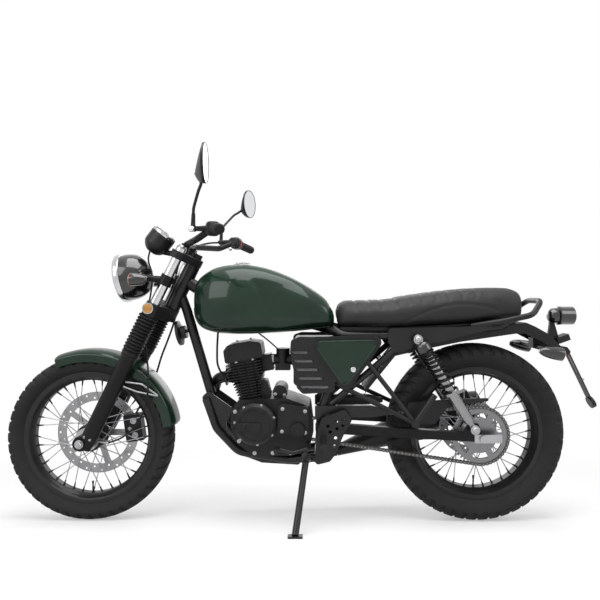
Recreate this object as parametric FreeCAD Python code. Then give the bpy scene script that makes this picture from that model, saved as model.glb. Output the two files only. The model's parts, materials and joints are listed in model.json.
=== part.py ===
import FreeCAD
import Part

import math
import os

from FreeCAD import Placement, Rotation, Vector

# A cafe racer motorcycle of 125 cc, parked on its side stand.
# Everything is first built upright: X runs to the rear, Y to the rider's right, Z up, with X zero
# midway between the axles and Z zero on the floor. At the end it is leaned to its left on its stand.
# All lengths are in millimetres and all angles in degrees.

# Whole machine
WHEELBASE = 1350.0
LEAN = 10.0
FIT_GAP = 0.3
RUNNING_GAP = 0.05
OVERRUN = 40.0
SLIVER_SHARE = 0.01

# Steering geometry
RAKE = 26.0
AXLE_LEAD = 14.0
YOKE_OFFSET = 40.0
LEG_SPACING = 172.0

# Front wheel
FRONT_TYRE_RADIUS = 289.0
FRONT_TYRE_WIDTH = 100.0
FRONT_RIM_WIDTH = 64.0
# Rear wheel
REAR_TYRE_RADIUS = 309.0
REAR_TYRE_WIDTH = 128.0
REAR_RIM_WIDTH = 88.0
# Both rims
RIM_SEAT_RADIUS = 218.0
RIM_FLANGE_RADIUS = 230.0
RIM_WELL_RADIUS = 199.0
RIM_LIP = 10.0
RIM_WALL = 3.0
SPOKE_COUNT = 36
SPOKE_RADIUS = 1.7
HUB_BARREL_RADIUS = 24.0
DISC_BOSS_RADIUS = 30.0
HUB_FLANGE_RADIUS = 48.0
HUB_FLANGE_WALL = 8.0
FRONT_HUB_WIDTH = 66.0
REAR_HUB_WIDTH = 84.0
SPOKE_STAGGER = 4.0
SPOKE_LEAD = 5.5
AXLE_RADIUS = 8.0

# Brake discs, sprocket and chain
FRONT_DISC_RADIUS = 147.0
FRONT_DISC_PLACE = 48.0
REAR_DISC_RADIUS = 105.0
REAR_DISC_PLACE = 66.0
DISC_WALL = 4.5
DISC_BORE_RADIUS = 20.8
DISC_BAND = 32.0
DISC_HOLE_RADIUS = 4.0
DISC_HOLES = 30
DISC_ARMS = 5
DISC_ARM_WIDTH = 22.0
CHAIN_LINE = 78.0
CHAIN_PITCH = 12.7
REAR_TEETH = 48
FRONT_TEETH = 15
ROLLER_RADIUS = 4.2
ROLLER_SIDES = 6
FRONT_CORNERS = 7
ROLLER_PITCHES = 6
PLATE_HALF_HEIGHT = 5.8
PLATE_WALL = 1.6
CHAIN_INNER_WIDTH = 8.0
SPROCKET_WALL = 6.5
SPROCKET_CARRIER_RADIUS = 58.0
FRONT_SPROCKET_X = 55.0
FRONT_SPROCKET_Z = 335.0

# Fork, measured up the steering direction from the front axle
LOWER_RADIUS = 27.0
LOWER_TOP = 353.0
LOWER_FOOT = 16.0
AXLE_BOSS_RADIUS = 25.5
AXLE_BOSS_REACH = 23.0
AXLE_NUT_RADIUS = 13.0
AXLE_NUT_WALL = 7.0
DRIVE_RADIUS = 40.0
DRIVE_OUTER_Y = -57.0
DRIVE_INNER_Y = -36.0
DRIVE_OUTLET = (-598.0, -54.0, 279.0)
DRIVE_OUTLET_RADIUS = 7.0
GAITER_TOP = 484.0
GAITER_RADIUS = 33.0
GAITER_NECK_RADIUS = 25.0
GAITER_RIBS = 11
FORK_TUBE_RADIUS = 17.5
FORK_TUBE_TOP = 738.0
LOWER_YOKE_BASE = 486.0
LOWER_YOKE_WALL = 44.0
UPPER_YOKE_BASE = 700.0
UPPER_YOKE_WALL = 26.0
YOKE_CLAMP_RADIUS = 27.0
STEM_RADIUS = 15.0
STEM_BOSS_RADIUS = 28.0
STEM_NUT_HEIGHT = 16.0
HEAD_TUBE_RADIUS = 27.0
HEAD_TUBE_GAP = 1.5

# Front mudguard
FRONT_GUARD_RADIUS = 310.0
FRONT_GUARD_WIDTH = 114.0
FRONT_GUARD_SKIRT = 42.0
GUARD_WALL = 1.8
FRONT_GUARD_START = -22.0
FRONT_GUARD_END = 81.0
GUARD_BRIDGE_RADIUS = 9.0
GUARD_LOOP = [
    (-536.0, -84.0, 494.0),
    (-478.0, -72.0, 484.0),
    (-424.0, -61.0, 440.0),
    (-498.0, -70.0, 458.0),
    (-538.0, -84.0, 478.0),
]
GUARD_LOOP_RADIUS = 2.5
GUARD_LOOP_BEND = 10.0

# Lamps, instrument and bars
HEADLIGHT_RADIUS = 86.0
HEADLIGHT_DEPTH = 112.0
HEADLIGHT_X = -570.0
HEADLIGHT_Z = 846.0
HEADLIGHT_DIP = 10.0
HEADLIGHT_RIM = 14.0
LENS_BULGE = 12.0
INSTRUMENT_RADIUS = 46.0
INSTRUMENT_DEPTH = 84.0
INSTRUMENT_X = -417.0
INSTRUMENT_Z = 1008.0
INSTRUMENT_TILT = 38.0
BAR_RADIUS = 11.0
BAR_END = (-160.0, 380.0, 978.0)
BAR_HEEL = (-208.0, 236.0, 996.0)
BAR_KNEE = (-262.0, 196.0, 968.0)
BAR_CLAMP_Y = 52.0
BAR_CLAMP_RISE = 30.0
BAR_BEND = 40.0
GRIP_RADIUS = 16.5
GRIP_LENGTH = 122.0
SWITCH_RADIUS = 24.0
SWITCH_LENGTH = 44.0
LEVER_REACH = 78.0
LEVER_RADIUS = 5.5
MIRROR_RADIUS = 58.0
MIRROR_DEPTH = 32.0
MIRROR_APEX_RADIUS = 12.0
MIRROR_APEX_DROP = 26.0
MIRROR_APEX_SHIFT = 14.0
MIRROR_RIM = 7.0
MIRROR_BASE = (-264.0, 250.0, 990.0)
MIRROR_ELBOW = (-262.0, 252.0, 1046.0)
MIRROR_ROD_END = (-222.0, 330.0, 1119.0)
MIRROR_Y = 362.0
MIRROR_Z = 1170.0
LEFT_MIRROR_X = -201.0
RIGHT_MIRROR_X = -160.0
LEFT_MIRROR_TURN = 3.0
RIGHT_MIRROR_TURN = 18.0
MIRROR_STEM_RADIUS = 5.0
MIRROR_BOOT_RADIUS = 8.5

# Engine
CASE_OUTLINE = [
    (-171.0, 396.0),
    (-149.0, 430.0),
    (15.0, 438.0),
    (99.0, 408.0),
    (109.0, 326.0),
    (93.0, 262.0),
    (33.0, 242.0),
    (-97.0, 242.0),
    (-153.0, 286.0),
    (-173.0, 341.0),
]
CASE_CORNER = 18.0
COVER_X = -87.0
COVER_Z = 357.0
COVER_STEP = 5.0
COVER_BAND = [(-157.0, 337.0), (-157.0, 368.0), (-66.0, 364.0), (-66.0, 336.0)]
COVER_BAND_CORNER = 8.0
CLUTCH_X = -37.0
SPROCKET_COVER = [(-12.0, 320.0), (-12.0, 414.0), (2.0, 424.0), (92.0, 411.0), (92.0, 316.0)]
SPROCKET_COVER_Y = 104.0
SPROCKET_BOSS_RADIUS = 26.0
SPROCKET_BOSS_REACH = 10.0
STARTER_X = -8.0
STARTER_Z = 452.0
STARTER_RADIUS = 25.0
STARTER_HALF_LENGTH = 52.0
TENSIONER = [(-84.0, 428.0), (-84.0, 484.0), (-54.0, 496.0), (-38.0, 436.0)]
TENSIONER_Y = 44.0
CASE_HALF_WIDTH = 84.0
COVER_RADIUS = 70.0
COVER_REACH = 44.0
CYLINDER_TILT = 10.0
CYLINDER_X = -101.0
CYLINDER_Z = 427.0
BARREL_HEIGHT = 74.0
BARREL_FRONT_FOOT = 44.0
BARREL_FRONT_TOP = 60.0
BARREL_REAR_FOOT = 26.0
BARREL_REAR_TOP = 45.0
STUD_PLACES = [-33.0, -2.0, 25.0]
STUD_CHANNEL = 7.0
STUD_DEPTH = 9.0
STUD_FOOT = 18.0
HEAD_COVER = [(-73.0, 137.0), (-72.0, 182.0), (-57.0, 198.0), (-31.0, 202.0), (24.0, 201.0), (60.0, 190.0), (60.0, 140.0)]
HEAD_COVER_CORNER = 9.0
HEAD_COVER_HALF_WIDTH = 56.0
INTAKE = [(30.0, 86.0), (30.0, 142.0), (86.0, 142.0), (86.0, 86.0)]
INTAKE_HALF_WIDTH = 27.0
HEAD_HEIGHT = 66.0
HEAD_HALF = 72.0
HEAD_REAR = 50.0
PORT_REACH = 6.0
PORT_RISE = 88.0
PORT_RADIUS = 24.0
FIN_PITCH = 9.6
FIN_WALL = 3.2
FIN_DEPTH = 15.0
CYLINDER_HALF_WIDTH = 66.0

# Chassis
PIVOT_X = 135.0
PIVOT_Z = 346.0
PIVOT_RADIUS = 12.0
TUBE_RADIUS = 14.0
BACKBONE_RADIUS = 22.0
RAIL_Y = 92.0
FRAME_PLATE_WALL = 5.0
SWINGARM_Y = 106.0
SWINGARM_HALF_WIDTH = 12.0
SWINGARM_HEIGHT = 34.0
ADJUSTER_WALL = 3.0
ADJUSTER_FRONT = 30.0
ADJUSTER_REAR = 62.0
ADJUSTER_HALF_HEIGHT = 14.0
SHOCK_Y = 131.0
SHOCK_TOP_X = 453.0
SHOCK_TOP_Z = 642.0
SHOCK_FOOT_X = 641.0
SHOCK_FOOT_Z = 344.0
SHOCK_EYE_RADIUS = 15.0
SHOCK_EYE_WIDTH = 22.0
SPRING_RADIUS = 28.0
SPRING_COILS = 9
DAMPER_RADIUS = 18.0

# Bodywork
TANK_FRONT = -308.0
TANK_REAR = 179.0
TANK_BASE = 652.0
TANK_TOP = 897.0
TANK_HALF_WIDTH = 130.0
SEAT_FRONT = 187.0
SEAT_REAR = 824.0
SEAT_HALF_WIDTH = 132.0
SEAT_BASE = 680.0
SIDE_PANEL_Y = 134.0
SIDE_PANEL_WALL = 10.0
SIDE_COVER_Y = 122.0

# Tail
TAIL_LAMP_X = 1030.0
TAIL_LAMP_Z = 715.0
TAIL_LAMP_RADIUS = 33.5
TAIL_LAMP_LENGTH = 90.0
INDICATOR_RADIUS = 22.0
REAR_INDICATOR_X = 928.0
REAR_INDICATOR_Y = 137.0
REAR_INDICATOR_Z = 592.0
INDICATOR_LENGTH = 78.0
REAR_INDICATOR_TILT = 10.0

# Side stand
STAND_PIVOT_X = 84.0
STAND_PIVOT_Z = 243.0
STAND_PIVOT_Y = -112.0
STAND_RADIUS = 11.0
STAND_FOOT_Y = -252.0
STAND_FOOT_X = 52.0

TYRE_SECTION_SHARES = [(0.59, 1.0), (0.86, 0.84), (1.0, 0.28)]

# Frame
BACKBONE_RISE = 640.0
BACKBONE_ROUTE = [(-190.0, 0.0, 738.0), (60.0, 0.0, 700.0), (205.0, 0.0, 662.0)]
BACKBONE_BEND = 60.0
DOWN_TUBE_RISE = 595.0
DOWN_TUBE_ROUTE = [(-341.0, 0.0, 734.0), (-254.0, 0.0, 440.0)]
DOWN_TUBE_RADIUS = 17.0
CRADLE_PLATE = [
    (-274.0, 442.0),
    (-253.0, 456.0),
    (-168.0, 396.0),
    (-192.0, 352.0),
    (-190.0, 300.0),
    (-150.0, 266.0),
    (-70.0, 250.0),
    (64.0, 248.0),
    (64.0, 202.0),
    (-70.0, 210.0),
    (-150.0, 240.0),
    (-212.0, 296.0),
    (-246.0, 355.0),
]
CRADLE_Y = 50.0
CRADLE_CORNER = 12.0
CRADLE_ROUTE = [(-262.0, 57.0, 432.0), (-226.0, 57.0, 330.0), (-150.0, 57.0, 250.0), (20.0, 57.0, 222.0), (120.0, 70.0, 232.0)]
PIVOT_PLATE = [(112.0, 212.0), (118.0, 300.0), (118.0, 420.0), (166.0, 440.0), (182.0, 340.0), (168.0, 226.0)]
PIVOT_PLATE_Y = 88.0
PIVOT_END_Y = 128.0
UPRIGHT_FOOT = (140.0, 90.0, 410.0)
UPRIGHT_HEAD = (212.0, 90.0, 650.0)
SEAT_RAIL_ROUTE = [(150.0, 40.0, 684.0), (212.0, 92.0, 652.0), (400.0, 92.0, 652.0), (730.0, 84.0, 682.0), (800.0, 40.0, 690.0)]
BRACE_FOOT = (168.0, 92.0, 420.0)
BRACE_HEAD = (440.0, 92.0, 652.0)
STRUT_PLATE = [(113.0, 379.0), (113.0, 417.0), (300.0, 419.0), (366.0, 404.0), (366.0, 388.0), (300.0, 379.0)]
STRUT_Y = 92.0
STRUT_WALL = 20.0
TAIL_GUSSET = [
    (359.0, 677.0),
    (359.0, 630.0),
    (379.0, 597.0),
    (406.0, 597.0),
    (460.0, 620.0),
    (534.0, 630.0),
    (595.0, 647.0),
    (709.0, 674.0),
    (709.0, 684.0),
]
CROSS_TUBES = [(400.0, 652.0), (212.0, 652.0), (120.0, 232.0), (350.0, 556.0)]
SHOCK_PIN_RADIUS = 6.0
CROSS_TUBE_X = 215.0

# Tank and seat, as shares of their length, height and half width
SECTION_POINTS = 28
TANK_STATION_SHARES = [
    (0.0, 0.36, 0.66, 0.3),
    (0.018, 0.22, 0.755, 0.5),
    (0.065, 0.09, 0.85, 0.72),
    (0.15, 0.02, 0.945, 0.9),
    (0.27, 0.0, 0.995, 1.0),
    (0.39, 0.0, 1.0, 1.0),
    (0.53, 0.01, 0.95, 1.0),
    (0.68, 0.03, 0.84, 0.95),
    (0.83, 0.06, 0.68, 0.85),
    (0.94, 0.09, 0.52, 0.74),
    (0.985, 0.12, 0.37, 0.6),
    (1.0, 0.16, 0.28, 0.5),
]
TANK_WAIST_SHARE = 0.34
TANK_POWER_SHARE = 2.7
TUNNEL_HALF_WIDTH = 26.0
TUNNEL_TOP = 770.0
CAP_RADIUS = 25.0
CAP_HEIGHT = 16.0
CAP_X = -142.0
CAP_Z = 889.5
SEAT_TOP = 814.0
SEAT_STATION_SHARES = [
    (0.0, 0.03, 0.5, 0.58),
    (0.015, 0.0, 0.59, 0.74),
    (0.06, 0.0, 0.63, 0.86),
    (0.18, 0.0, 0.645, 0.98),
    (0.28, 0.0, 0.67, 1.0),
    (0.37, 0.01, 0.755, 1.0),
    (0.52, 0.05, 0.857, 0.97),
    (0.66, 0.09, 0.93, 0.93),
    (0.8, 0.13, 0.967, 0.88),
    (0.92, 0.15, 0.965, 0.81),
    (0.98, 0.17, 0.93, 0.73),
    (1.0, 0.22, 0.85, 0.6),
]
SEAT_WAIST_SHARE = 0.3
SEAT_POWER_SHARE = 3.0
SEAT_TRAY_LINE = [(200.0, 679.5), (398.0, 679.5), (480.0, 682.5), (560.0, 686.5), (640.0, 691.5), (700.0, 697.0)]
SEAT_TRAY_WALL = 13.0
SEAT_TRAY_HALF_WIDTH = 84.0

# Side panels, covers and airbox
SIDE_PANEL_OUTLINE = [(97.0, 637.0), (338.0, 643.0), (212.0, 475.0)]
SIDE_PANEL_CORNER = 22.0
SIDE_COVER_OUTLINE = [
    (30.0, 599.0),
    (33.0, 639.0),
    (63.0, 649.0),
    (140.0, 648.0),
    (180.0, 600.0),
    (180.0, 466.0),
    (73.0, 459.0),
    (53.0, 479.0),
]
SIDE_TRIM_OUTLINE = [(76.0, 648.0), (356.0, 654.0), (216.0, 456.0)]
SIDE_COVER_CORNER = 14.0
SIDE_COVER_WALL = 16.0
SLOT_ROWS = 5
SLOT_TOP_Z = 597.0
SLOT_PITCH = 28.8
SLOT_HEIGHT = 9.0
SLOT_DEPTH = 7.0
SLOT_X0 = 36.0
SLOT_X1 = 92.0
SLOT_X0_STEP = 7.0
SLOT_X1_STEP = 17.0
AIRBOX_OUTLINE = [(40.0, 480.0), (40.0, 640.0), (190.0, 640.0), (170.0, 470.0)]
AIRBOX_HALF_WIDTH = 76.0
CARB_X = 0.0
CARB_Z = 560.0
CARB_RADIUS = 24.0
CARB_DROP = 36.0
CARB_RISE = 40.0
CARB_FRONT_X = -40.0

# Exhaust
HEADER_ROUTE = [
    (-196.0, 0.0, 500.0),
    (-236.0, 20.0, 490.0),
    (-262.0, 76.0, 430.0),
    (-232.0, 104.0, 290.0),
    (-150.0, 116.0, 196.0),
    (40.0, 132.0, 178.0),
    (196.0, 156.0, 190.0),
]
HEADER_BEND = 60.0
HEADER_RADIUS = 20.0
SILENCER_END = (745.0, 162.0, 378.0)
SILENCER_RADIUS = 49.0
HANGER_X = 470.0
HANGER_Z = 300.0

# Mudguard and tail
# The rear mudguard: X, Z and the depth of its turned-down edge
REAR_GUARD_LINE = [
    (285.0, 469.0, 16.0),
    (388.0, 600.0, 20.0),
    (508.0, 627.0, 20.0),
    (611.0, 648.0, 20.0),
    (731.0, 672.0, 26.0),
    (800.0, 690.0, 34.0),
    (836.0, 694.0, 38.0),
    (868.0, 680.0, 40.0),
    (916.0, 653.0, 38.0),
    (955.0, 613.0, 16.0),
]
REAR_GUARD_HALF_WIDTH = 72.0
REAR_GUARD_WALL = 4.0
TAIL_OUTLINE = [
    (880.0, 602.0),
    (880.0, 640.0),
    (905.0, 648.0),
    (950.0, 606.0),
    (1000.0, 606.0),
    (1014.0, 588.0),
    (1004.0, 578.0),
    (980.0, 588.0),
    (930.0, 588.0),
]
TAIL_HALF_WIDTH = 20.0
TAIL_STEM_OUTLINE = [
    (934.0, 600.0),
    (946.0, 690.0),
    (944.0, 724.0),
    (960.0, 724.0),
    (962.0, 690.0),
    (976.0, 640.0),
    (970.0, 596.0),
]
TAIL_STEM_HALF_WIDTH = 6.0
CARRIER_TOP = (1006.0, 594.0)
CARRIER_FOOT = (1092.0, 415.0)
CARRIER_HALF_WIDTH = 18.0
CARRIER_WALL = 4.0
CARRIER_SLOT_START = 22.0
CARRIER_SLOT_END = 92.0
CARRIER_SLOT_HALF_WIDTH = 6.0
REFLECTOR_AT = (1094.0, 0.0, 408.0)
TAIL_BAR_X = 895.0
TAIL_BAR_Z = 609.0
TAIL_BAR_END_Y = 125.0
REFLECTOR_RADIUS = 21.0
PLATE_LAMP_X = 971.0
PLATE_LAMP_LENGTH = 44.0
PLATE_LAMP_Z = 616.0
PLATE_LAMP_HEIGHT = 22.0
PLATE_LAMP_HALF_WIDTH = 22.0
PLATE_LAMP_TILT = 20.0
INDICATOR_STEM_RADIUS = 7.0
FRONT_INDICATOR_X = -498.0
FRONT_INDICATOR_Y = 130.0
FRONT_INDICATOR_Z = 840.0
FRONT_INDICATOR_LENGTH = 58.0
FRONT_STEM_X = -466.0
LAMP_CLAMP_PLACE = 600.0
LAMP_CLAMP_HEIGHT = 36.0
EAR_END_X = -508.0
EAR_END_Y = 88.0
EAR_END_Z = 852.0
BOLT_INNER_Y = 60.0
GRAB_ROUTE = [
    (640.0, -96.0, 684.0),
    (740.0, -112.0, 700.0),
    (845.0, -106.0, 722.0),
    (892.0, -60.0, 768.0),
    (892.0, 60.0, 768.0),
    (845.0, 106.0, 722.0),
    (740.0, 112.0, 700.0),
    (640.0, 96.0, 684.0),
]
GRAB_BEND = 50.0
GRAB_RADIUS = 10.0

# Chain guard, footrests and pedals
CHAIN_GUARD_OUTLINE = [(420.0, 400.0), (430.0, 424.0), (560.0, 436.0), (700.0, 440.0), (700.0, 430.0), (560.0, 408.0), (520.0, 352.0), (430.0, 352.0)]
CHAIN_GUARD_Y = 90.0
PEG_PLATE_OUTLINE = [
    (136.0, 384.0),
    (212.0, 412.0),
    (236.0, 377.0),
    (212.0, 338.0),
    (199.0, 308.0),
    (186.0, 272.0),
    (163.0, 240.0),
    (134.0, 252.0),
    (146.0, 295.0),
    (122.0, 344.0),
]
PEG_PLATE_Y = 136.0
PEG_PLATE_WALL = 6.0
PEG_PLATE_HOLES = [(207.0, 379.0), (184.0, 371.0), (205.0, 359.0), (186.0, 349.0), (156.0, 357.0), (163.0, 338.0), (181.0, 318.0), (178.0, 291.0)]
PEG_PLATE_MOUNTS = [(166.0, 276.0), (156.0, 384.0)]
PEG_HOLE_RADIUS = 5.5
PEG_X = 140.0
PEG_Z = 312.0
PEG_END_Y = 232.0
PEG_RADIUS = 11.0
STRUT_UPPER = (222.0, 104.0, 650.0)
STRUT_LOWER = (164.0, 100.0, 500.0)
STRUT_JOINT = (444.0, 134.0, 365.0)
STRUT_RADIUS = 8.0
FOLDED_PEG_TIP = (508.0, 140.0, 460.0)
PEDAL_PIVOT_X = 92.0
PEDAL_PIVOT_Y = 150.0
PEDAL_PIVOT_Z = 286.0
PEDAL_ELBOW_X = 40.0
PEDAL_ELBOW_Z = 276.0
PEDAL_TIP_X = -10.0
PEDAL_TIP_Z = 290.0
PEDAL_Y = 166.0
PEDAL_RADIUS = 6.0
PEDAL_PAD = 34.0

# Horn and calipers
HORN_X = -372.0
HORN_Y = 0.0
HORN_Z = 652.0
HORN_RADIUS = 44.0
HORN_DEPTH = 30.0
HORN_TILT = 12.0
HORN_MOUNT = (-318.0, 0.0, 668.0)
CALIPER_DEPTH = 62.0
CALIPER_LENGTH = 96.0
CALIPER_GAP = 1.6
FRONT_CALIPER_ANGLE = 8.0
FRONT_CALIPER_WIDTH = 40.0
REAR_CALIPER_ANGLE = 115.0
REAR_CALIPER_WIDTH = 40.0
SWINGARM_CALIPER_Z = 324.0

# Cables and hoses that are held all the way
SPEEDO_CABLE = [
    (-469.0, -15.0, 942.0),
    (-474.0, -21.0, 911.0),
    (-457.0, -36.0, 876.0),
    (-450.0, -47.0, 836.0),
    (-455.0, -50.0, 790.0),
    (-466.0, -47.0, 741.0),
    (-478.0, -42.0, 690.0),
    (-479.0, -42.0, 632.0),
    (-468.0, -52.0, 580.0),
    (-458.0, -68.0, 527.0),
    (-453.0, -84.0, 473.0),
    (-458.0, -92.0, 418.0),
    (-476.0, -96.0, 370.0),
    (-508.0, -92.0, 328.0),
    (-552.0, -76.0, 297.0),
    (-597.0, -54.0, 279.0),
]
SPEEDO_CABLE_RADIUS = 3.0
BRAKE_HOSE = [
    (-262.0, 233.0, 996.0),
    (-300.0, 226.0, 994.0),
    (-334.0, 196.0, 984.0),
    (-372.0, 152.0, 960.0),
    (-398.0, 120.0, 915.0),
    (-410.0, 114.0, 862.0),
    (-413.0, 112.0, 812.0),
    (-400.0, 110.0, 760.0),
    (-404.0, 94.0, 712.0),
    (-416.0, 84.0, 664.0),
    (-433.0, 74.0, 612.0),
    (-452.0, 70.0, 562.0),
    (-468.0, 78.0, 512.0),
    (-486.0, 83.0, 464.0),
    (-508.0, 82.0, 420.0),
    (-530.0, 73.0, 382.0),
    (-541.0, 54.0, 354.0),
]
BRAKE_HOSE_RADIUS = 3.5
PLUG_LEAD = [
    (-178.0, -22.0, 500.0),
    (-213.0, -30.0, 512.0),
    (-228.0, -33.0, 546.0),
    (-229.0, -31.0, 600.0),
    (-227.0, -22.0, 660.0),
    (-226.0, -10.0, 705.0),
    (-224.0, -4.0, 742.0),
]
PLUG_LEAD_RADIUS = 3.5
PLUG_CAP_RADIUS = 9.0
THROTTLE_CABLE = [
    (-168.0, -6.0, 716.0),
    (-136.0, -14.0, 690.0),
    (-96.0, -18.0, 662.0),
    (-52.0, -18.0, 630.0),
    (-12.0, -9.0, 592.0),
]
THROTTLE_CABLE_RADIUS = 2.5
CABLE_RUN_SHARE = 0.45

# Stand hinge
STAND_EYE_WALL = 24.0
STAND_PIN_RADIUS = 5.0
STAND_CHEEK_WALL = 6.0
STAND_PAD_LENGTH = 46.0
STAND_PAD_WIDTH = 34.0
STAND_FOOT_WALL = 6.0

# Side reflectors of the fork
REFLECTOR_X = -445.0
REFLECTOR_Y = 112.0
REFLECTOR_Z = 744.0
REFLECTOR_WALL = 7.0

# Pieces earlier in a list keep their whole form, and later ones seat against them
CHASSIS_ORDER = [
    "frame", "swingarm", "rear_axle", "shocks", "fuel_tank", "fuel_cap", "crankcase", "cylinder", "carburettor",
    "airbox", "side_panels", "side_covers", "seat_base", "seat", "rear_mudguard", "tail_bracket", "tail_light",
    "rear_indicators", "grab_rail", "chain", "chain_guard", "footrests", "rear_caliper", "horn", "exhaust",
    "engine_leads",
]
FORK_ORDER = [
    "yokes", "fork_tubes", "fork_lowers", "fork_gaiters", "front_axle", "front_mudguard", "headlight",
    "headlight_lens", "instrument", "lamp_brackets", "front_indicators", "handlebar", "hand_controls", "mirrors",
    "front_caliper", "fork_cables",
]

FRONT_AXLE = Vector(-WHEELBASE / 2, 0, FRONT_TYRE_RADIUS)
REAR_AXLE = Vector(WHEELBASE / 2, 0, REAR_TYRE_RADIUS)
HALF_LEGS = LEG_SPACING / 2
STEER_OFFSET = AXLE_LEAD + YOKE_OFFSET
X_AXIS = Vector(1, 0, 0)
Y_AXIS = Vector(0, 1, 0)
Z_AXIS = Vector(0, 0, 1)
ORIGIN = Vector(0, 0, 0)


def fuse(*shapes):
    """One solid from overlapping ones."""
    flat = []
    for s in shapes:
        flat.extend(s if isinstance(s, list) else [s])
    if len(flat) == 1:
        return flat[0]
    return flat[0].multiFuse(flat[1:]).removeSplitter()


def cut(shape, *tools):
    """The shape without the tools' space, so that it seats against them."""
    flat = []
    for t in tools:
        flat.extend(t if isinstance(t, list) else [t])
    return shape.cut(flat)


def mirrored(shape):
    """The same piece on the other side of the machine."""
    return shape.mirror(ORIGIN, Y_AXIS)


def pair(shape):
    return [shape, mirrored(shape)]


def rod(start, end, radius):
    """A round bar between two points."""
    along = end.sub(start)
    return Part.makeCylinder(radius, along.Length, start, along)


def cone(start, end, radius_a, radius_b):
    along = end.sub(start)
    return Part.makeCone(radius_a, radius_b, along.Length, start, along)


def block(x0, x1, y0, y1, z0, z1):
    return Part.makeBox(x1 - x0, y1 - y0, z1 - z0, Vector(x0, y0, z0))


def lateral(x, z, y0, y1, radius):
    """A round boss across the machine, from y0 to y1."""
    return rod(Vector(x, min(y0, y1), z), Vector(x, max(y0, y1), z), radius)


def rounded_wire(points, radii):
    """A closed outline whose corners are arcs; a corner with radius zero stays sharp."""
    count = len(points)
    starts, ends, mids = [], [], []
    for i, p in enumerate(points):
        r = radii[i] if isinstance(radii, list) else radii
        a, b = points[i - 1], points[(i + 1) % count]
        to_a, to_b = a.sub(p).normalize(), b.sub(p).normalize()
        angle = to_a.getAngle(to_b)
        if r <= 0 or angle > math.pi * 0.999:
            starts.append(p)
            ends.append(p)
            mids.append(None)
            continue
        run = min(r / math.tan(angle / 2), a.sub(p).Length * 0.49, b.sub(p).Length * 0.49)
        radius = run * math.tan(angle / 2)
        bisector = to_a.add(to_b).normalize()
        centre = p.add(bisector.multiply(radius / math.sin(angle / 2)))
        starts.append(p.add(Vector(to_a).multiply(run)))
        ends.append(p.add(Vector(to_b).multiply(run)))
        mids.append(centre.add(p.sub(centre).normalize().multiply(radius)))
    edges = []
    for i in range(count):
        if mids[i] is not None:
            edges.append(Part.Arc(starts[i], mids[i], ends[i]).toShape())
        a, b = ends[i], starts[(i + 1) % count]
        if a.sub(b).Length > RUNNING_GAP / 10:
            edges.append(Part.LineSegment(a, b).toShape())
    return Part.Wire(edges)


def plate_xz(points, y0, y1, radii=0):
    """A plate with an outline in side view, from y0 to y1."""
    wire = rounded_wire([Vector(x, y0, z) for x, z in points], radii)
    return Part.Face(wire).extrude(Vector(0, y1 - y0, 0))


def pipe_path(points, bends):
    """Straight runs joined by tangent arcs."""
    edges = []
    last = points[0]
    for i in range(1, len(points) - 1):
        p = points[i]
        r = bends[i - 1] if isinstance(bends, list) else bends
        to_a, to_b = points[i - 1].sub(p).normalize(), points[i + 1].sub(p).normalize()
        angle = to_a.getAngle(to_b)
        reach = min(points[i - 1].sub(p).Length, points[i + 1].sub(p).Length)
        run = min(r / math.tan(angle / 2), reach * 0.49)
        radius = run * math.tan(angle / 2)
        centre = p.add(to_a.add(to_b).normalize().multiply(radius / math.sin(angle / 2)))
        start = p.add(Vector(to_a).multiply(run))
        end = p.add(Vector(to_b).multiply(run))
        mid = centre.add(p.sub(centre).normalize().multiply(radius))
        edges.append(Part.LineSegment(last, start).toShape())
        edges.append(Part.Arc(start, mid, end).toShape())
        last = end
    edges.append(Part.LineSegment(last, points[-1]).toShape())
    return Part.Wire(edges)


def bent_tube(points, bends, radius):
    """A solid round bar that follows a bent path."""
    path = pipe_path(points, bends)
    ring = Part.Wire([Part.makeCircle(radius, points[0], points[1].sub(points[0]))])
    return path.makePipeShell([ring], True, False)


def revolve_y(points, centre):
    """A ring about the wheel axis: points are (radius, y)."""
    corners = [Vector(centre.x, centre.y + y, centre.z + r) for r, y in points]
    face = Part.Face(Part.makePolygon(corners + corners[:1]))
    return face.revolve(centre, Y_AXIS, 360)


def turned(points, place, direction):
    """A turned solid: points are (distance along, radius) from the place along the direction."""
    corners = [Vector(r, 0, a) for a, r in points]
    face = Part.Face(Part.makePolygon(corners + corners[:1]))
    solid = face.revolve(ORIGIN, Z_AXIS, 360)
    solid.Placement = Placement(place, Rotation(Z_AXIS, direction))
    return solid


def at_fork(u, y, w):
    """A point in the fork's own frame: u square to the steering direction and rearward, w up along it."""
    s, c = math.sin(math.radians(RAKE)), math.cos(math.radians(RAKE))
    return Vector(FRONT_AXLE.x + u * c + w * s, y, FRONT_AXLE.z - u * s + w * c)


def on_fork(shape):
    """Turns a shape drawn in the fork's own frame into place."""
    placed = shape.copy()
    placed.Placement = Placement(FRONT_AXLE, Rotation(Y_AXIS, RAKE)).multiply(shape.Placement)
    return placed


# Wheels

def tyre_points(radius, width, rim_width):
    """Half the tyre's section, from the bead over the widest place to the crown, as (radius, y)."""
    rise = radius - RIM_SEAT_RADIUS
    half = [(RIM_SEAT_RADIUS, rim_width / 2 - RIM_LIP)]
    for height_share, width_share in TYRE_SECTION_SHARES:
        half.append((RIM_SEAT_RADIUS + rise * height_share, width / 2 * width_share))
    return half


def tyre(centre, radius, width, rim_width):
    """A tyre whose flanks start at the bead seats, bulge past the rim and end in a round crown."""
    half = tyre_points(radius, width, rim_width)
    points = half + [(r, -y) for r, y in reversed(half)]
    return revolve_y(points, centre)


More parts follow.
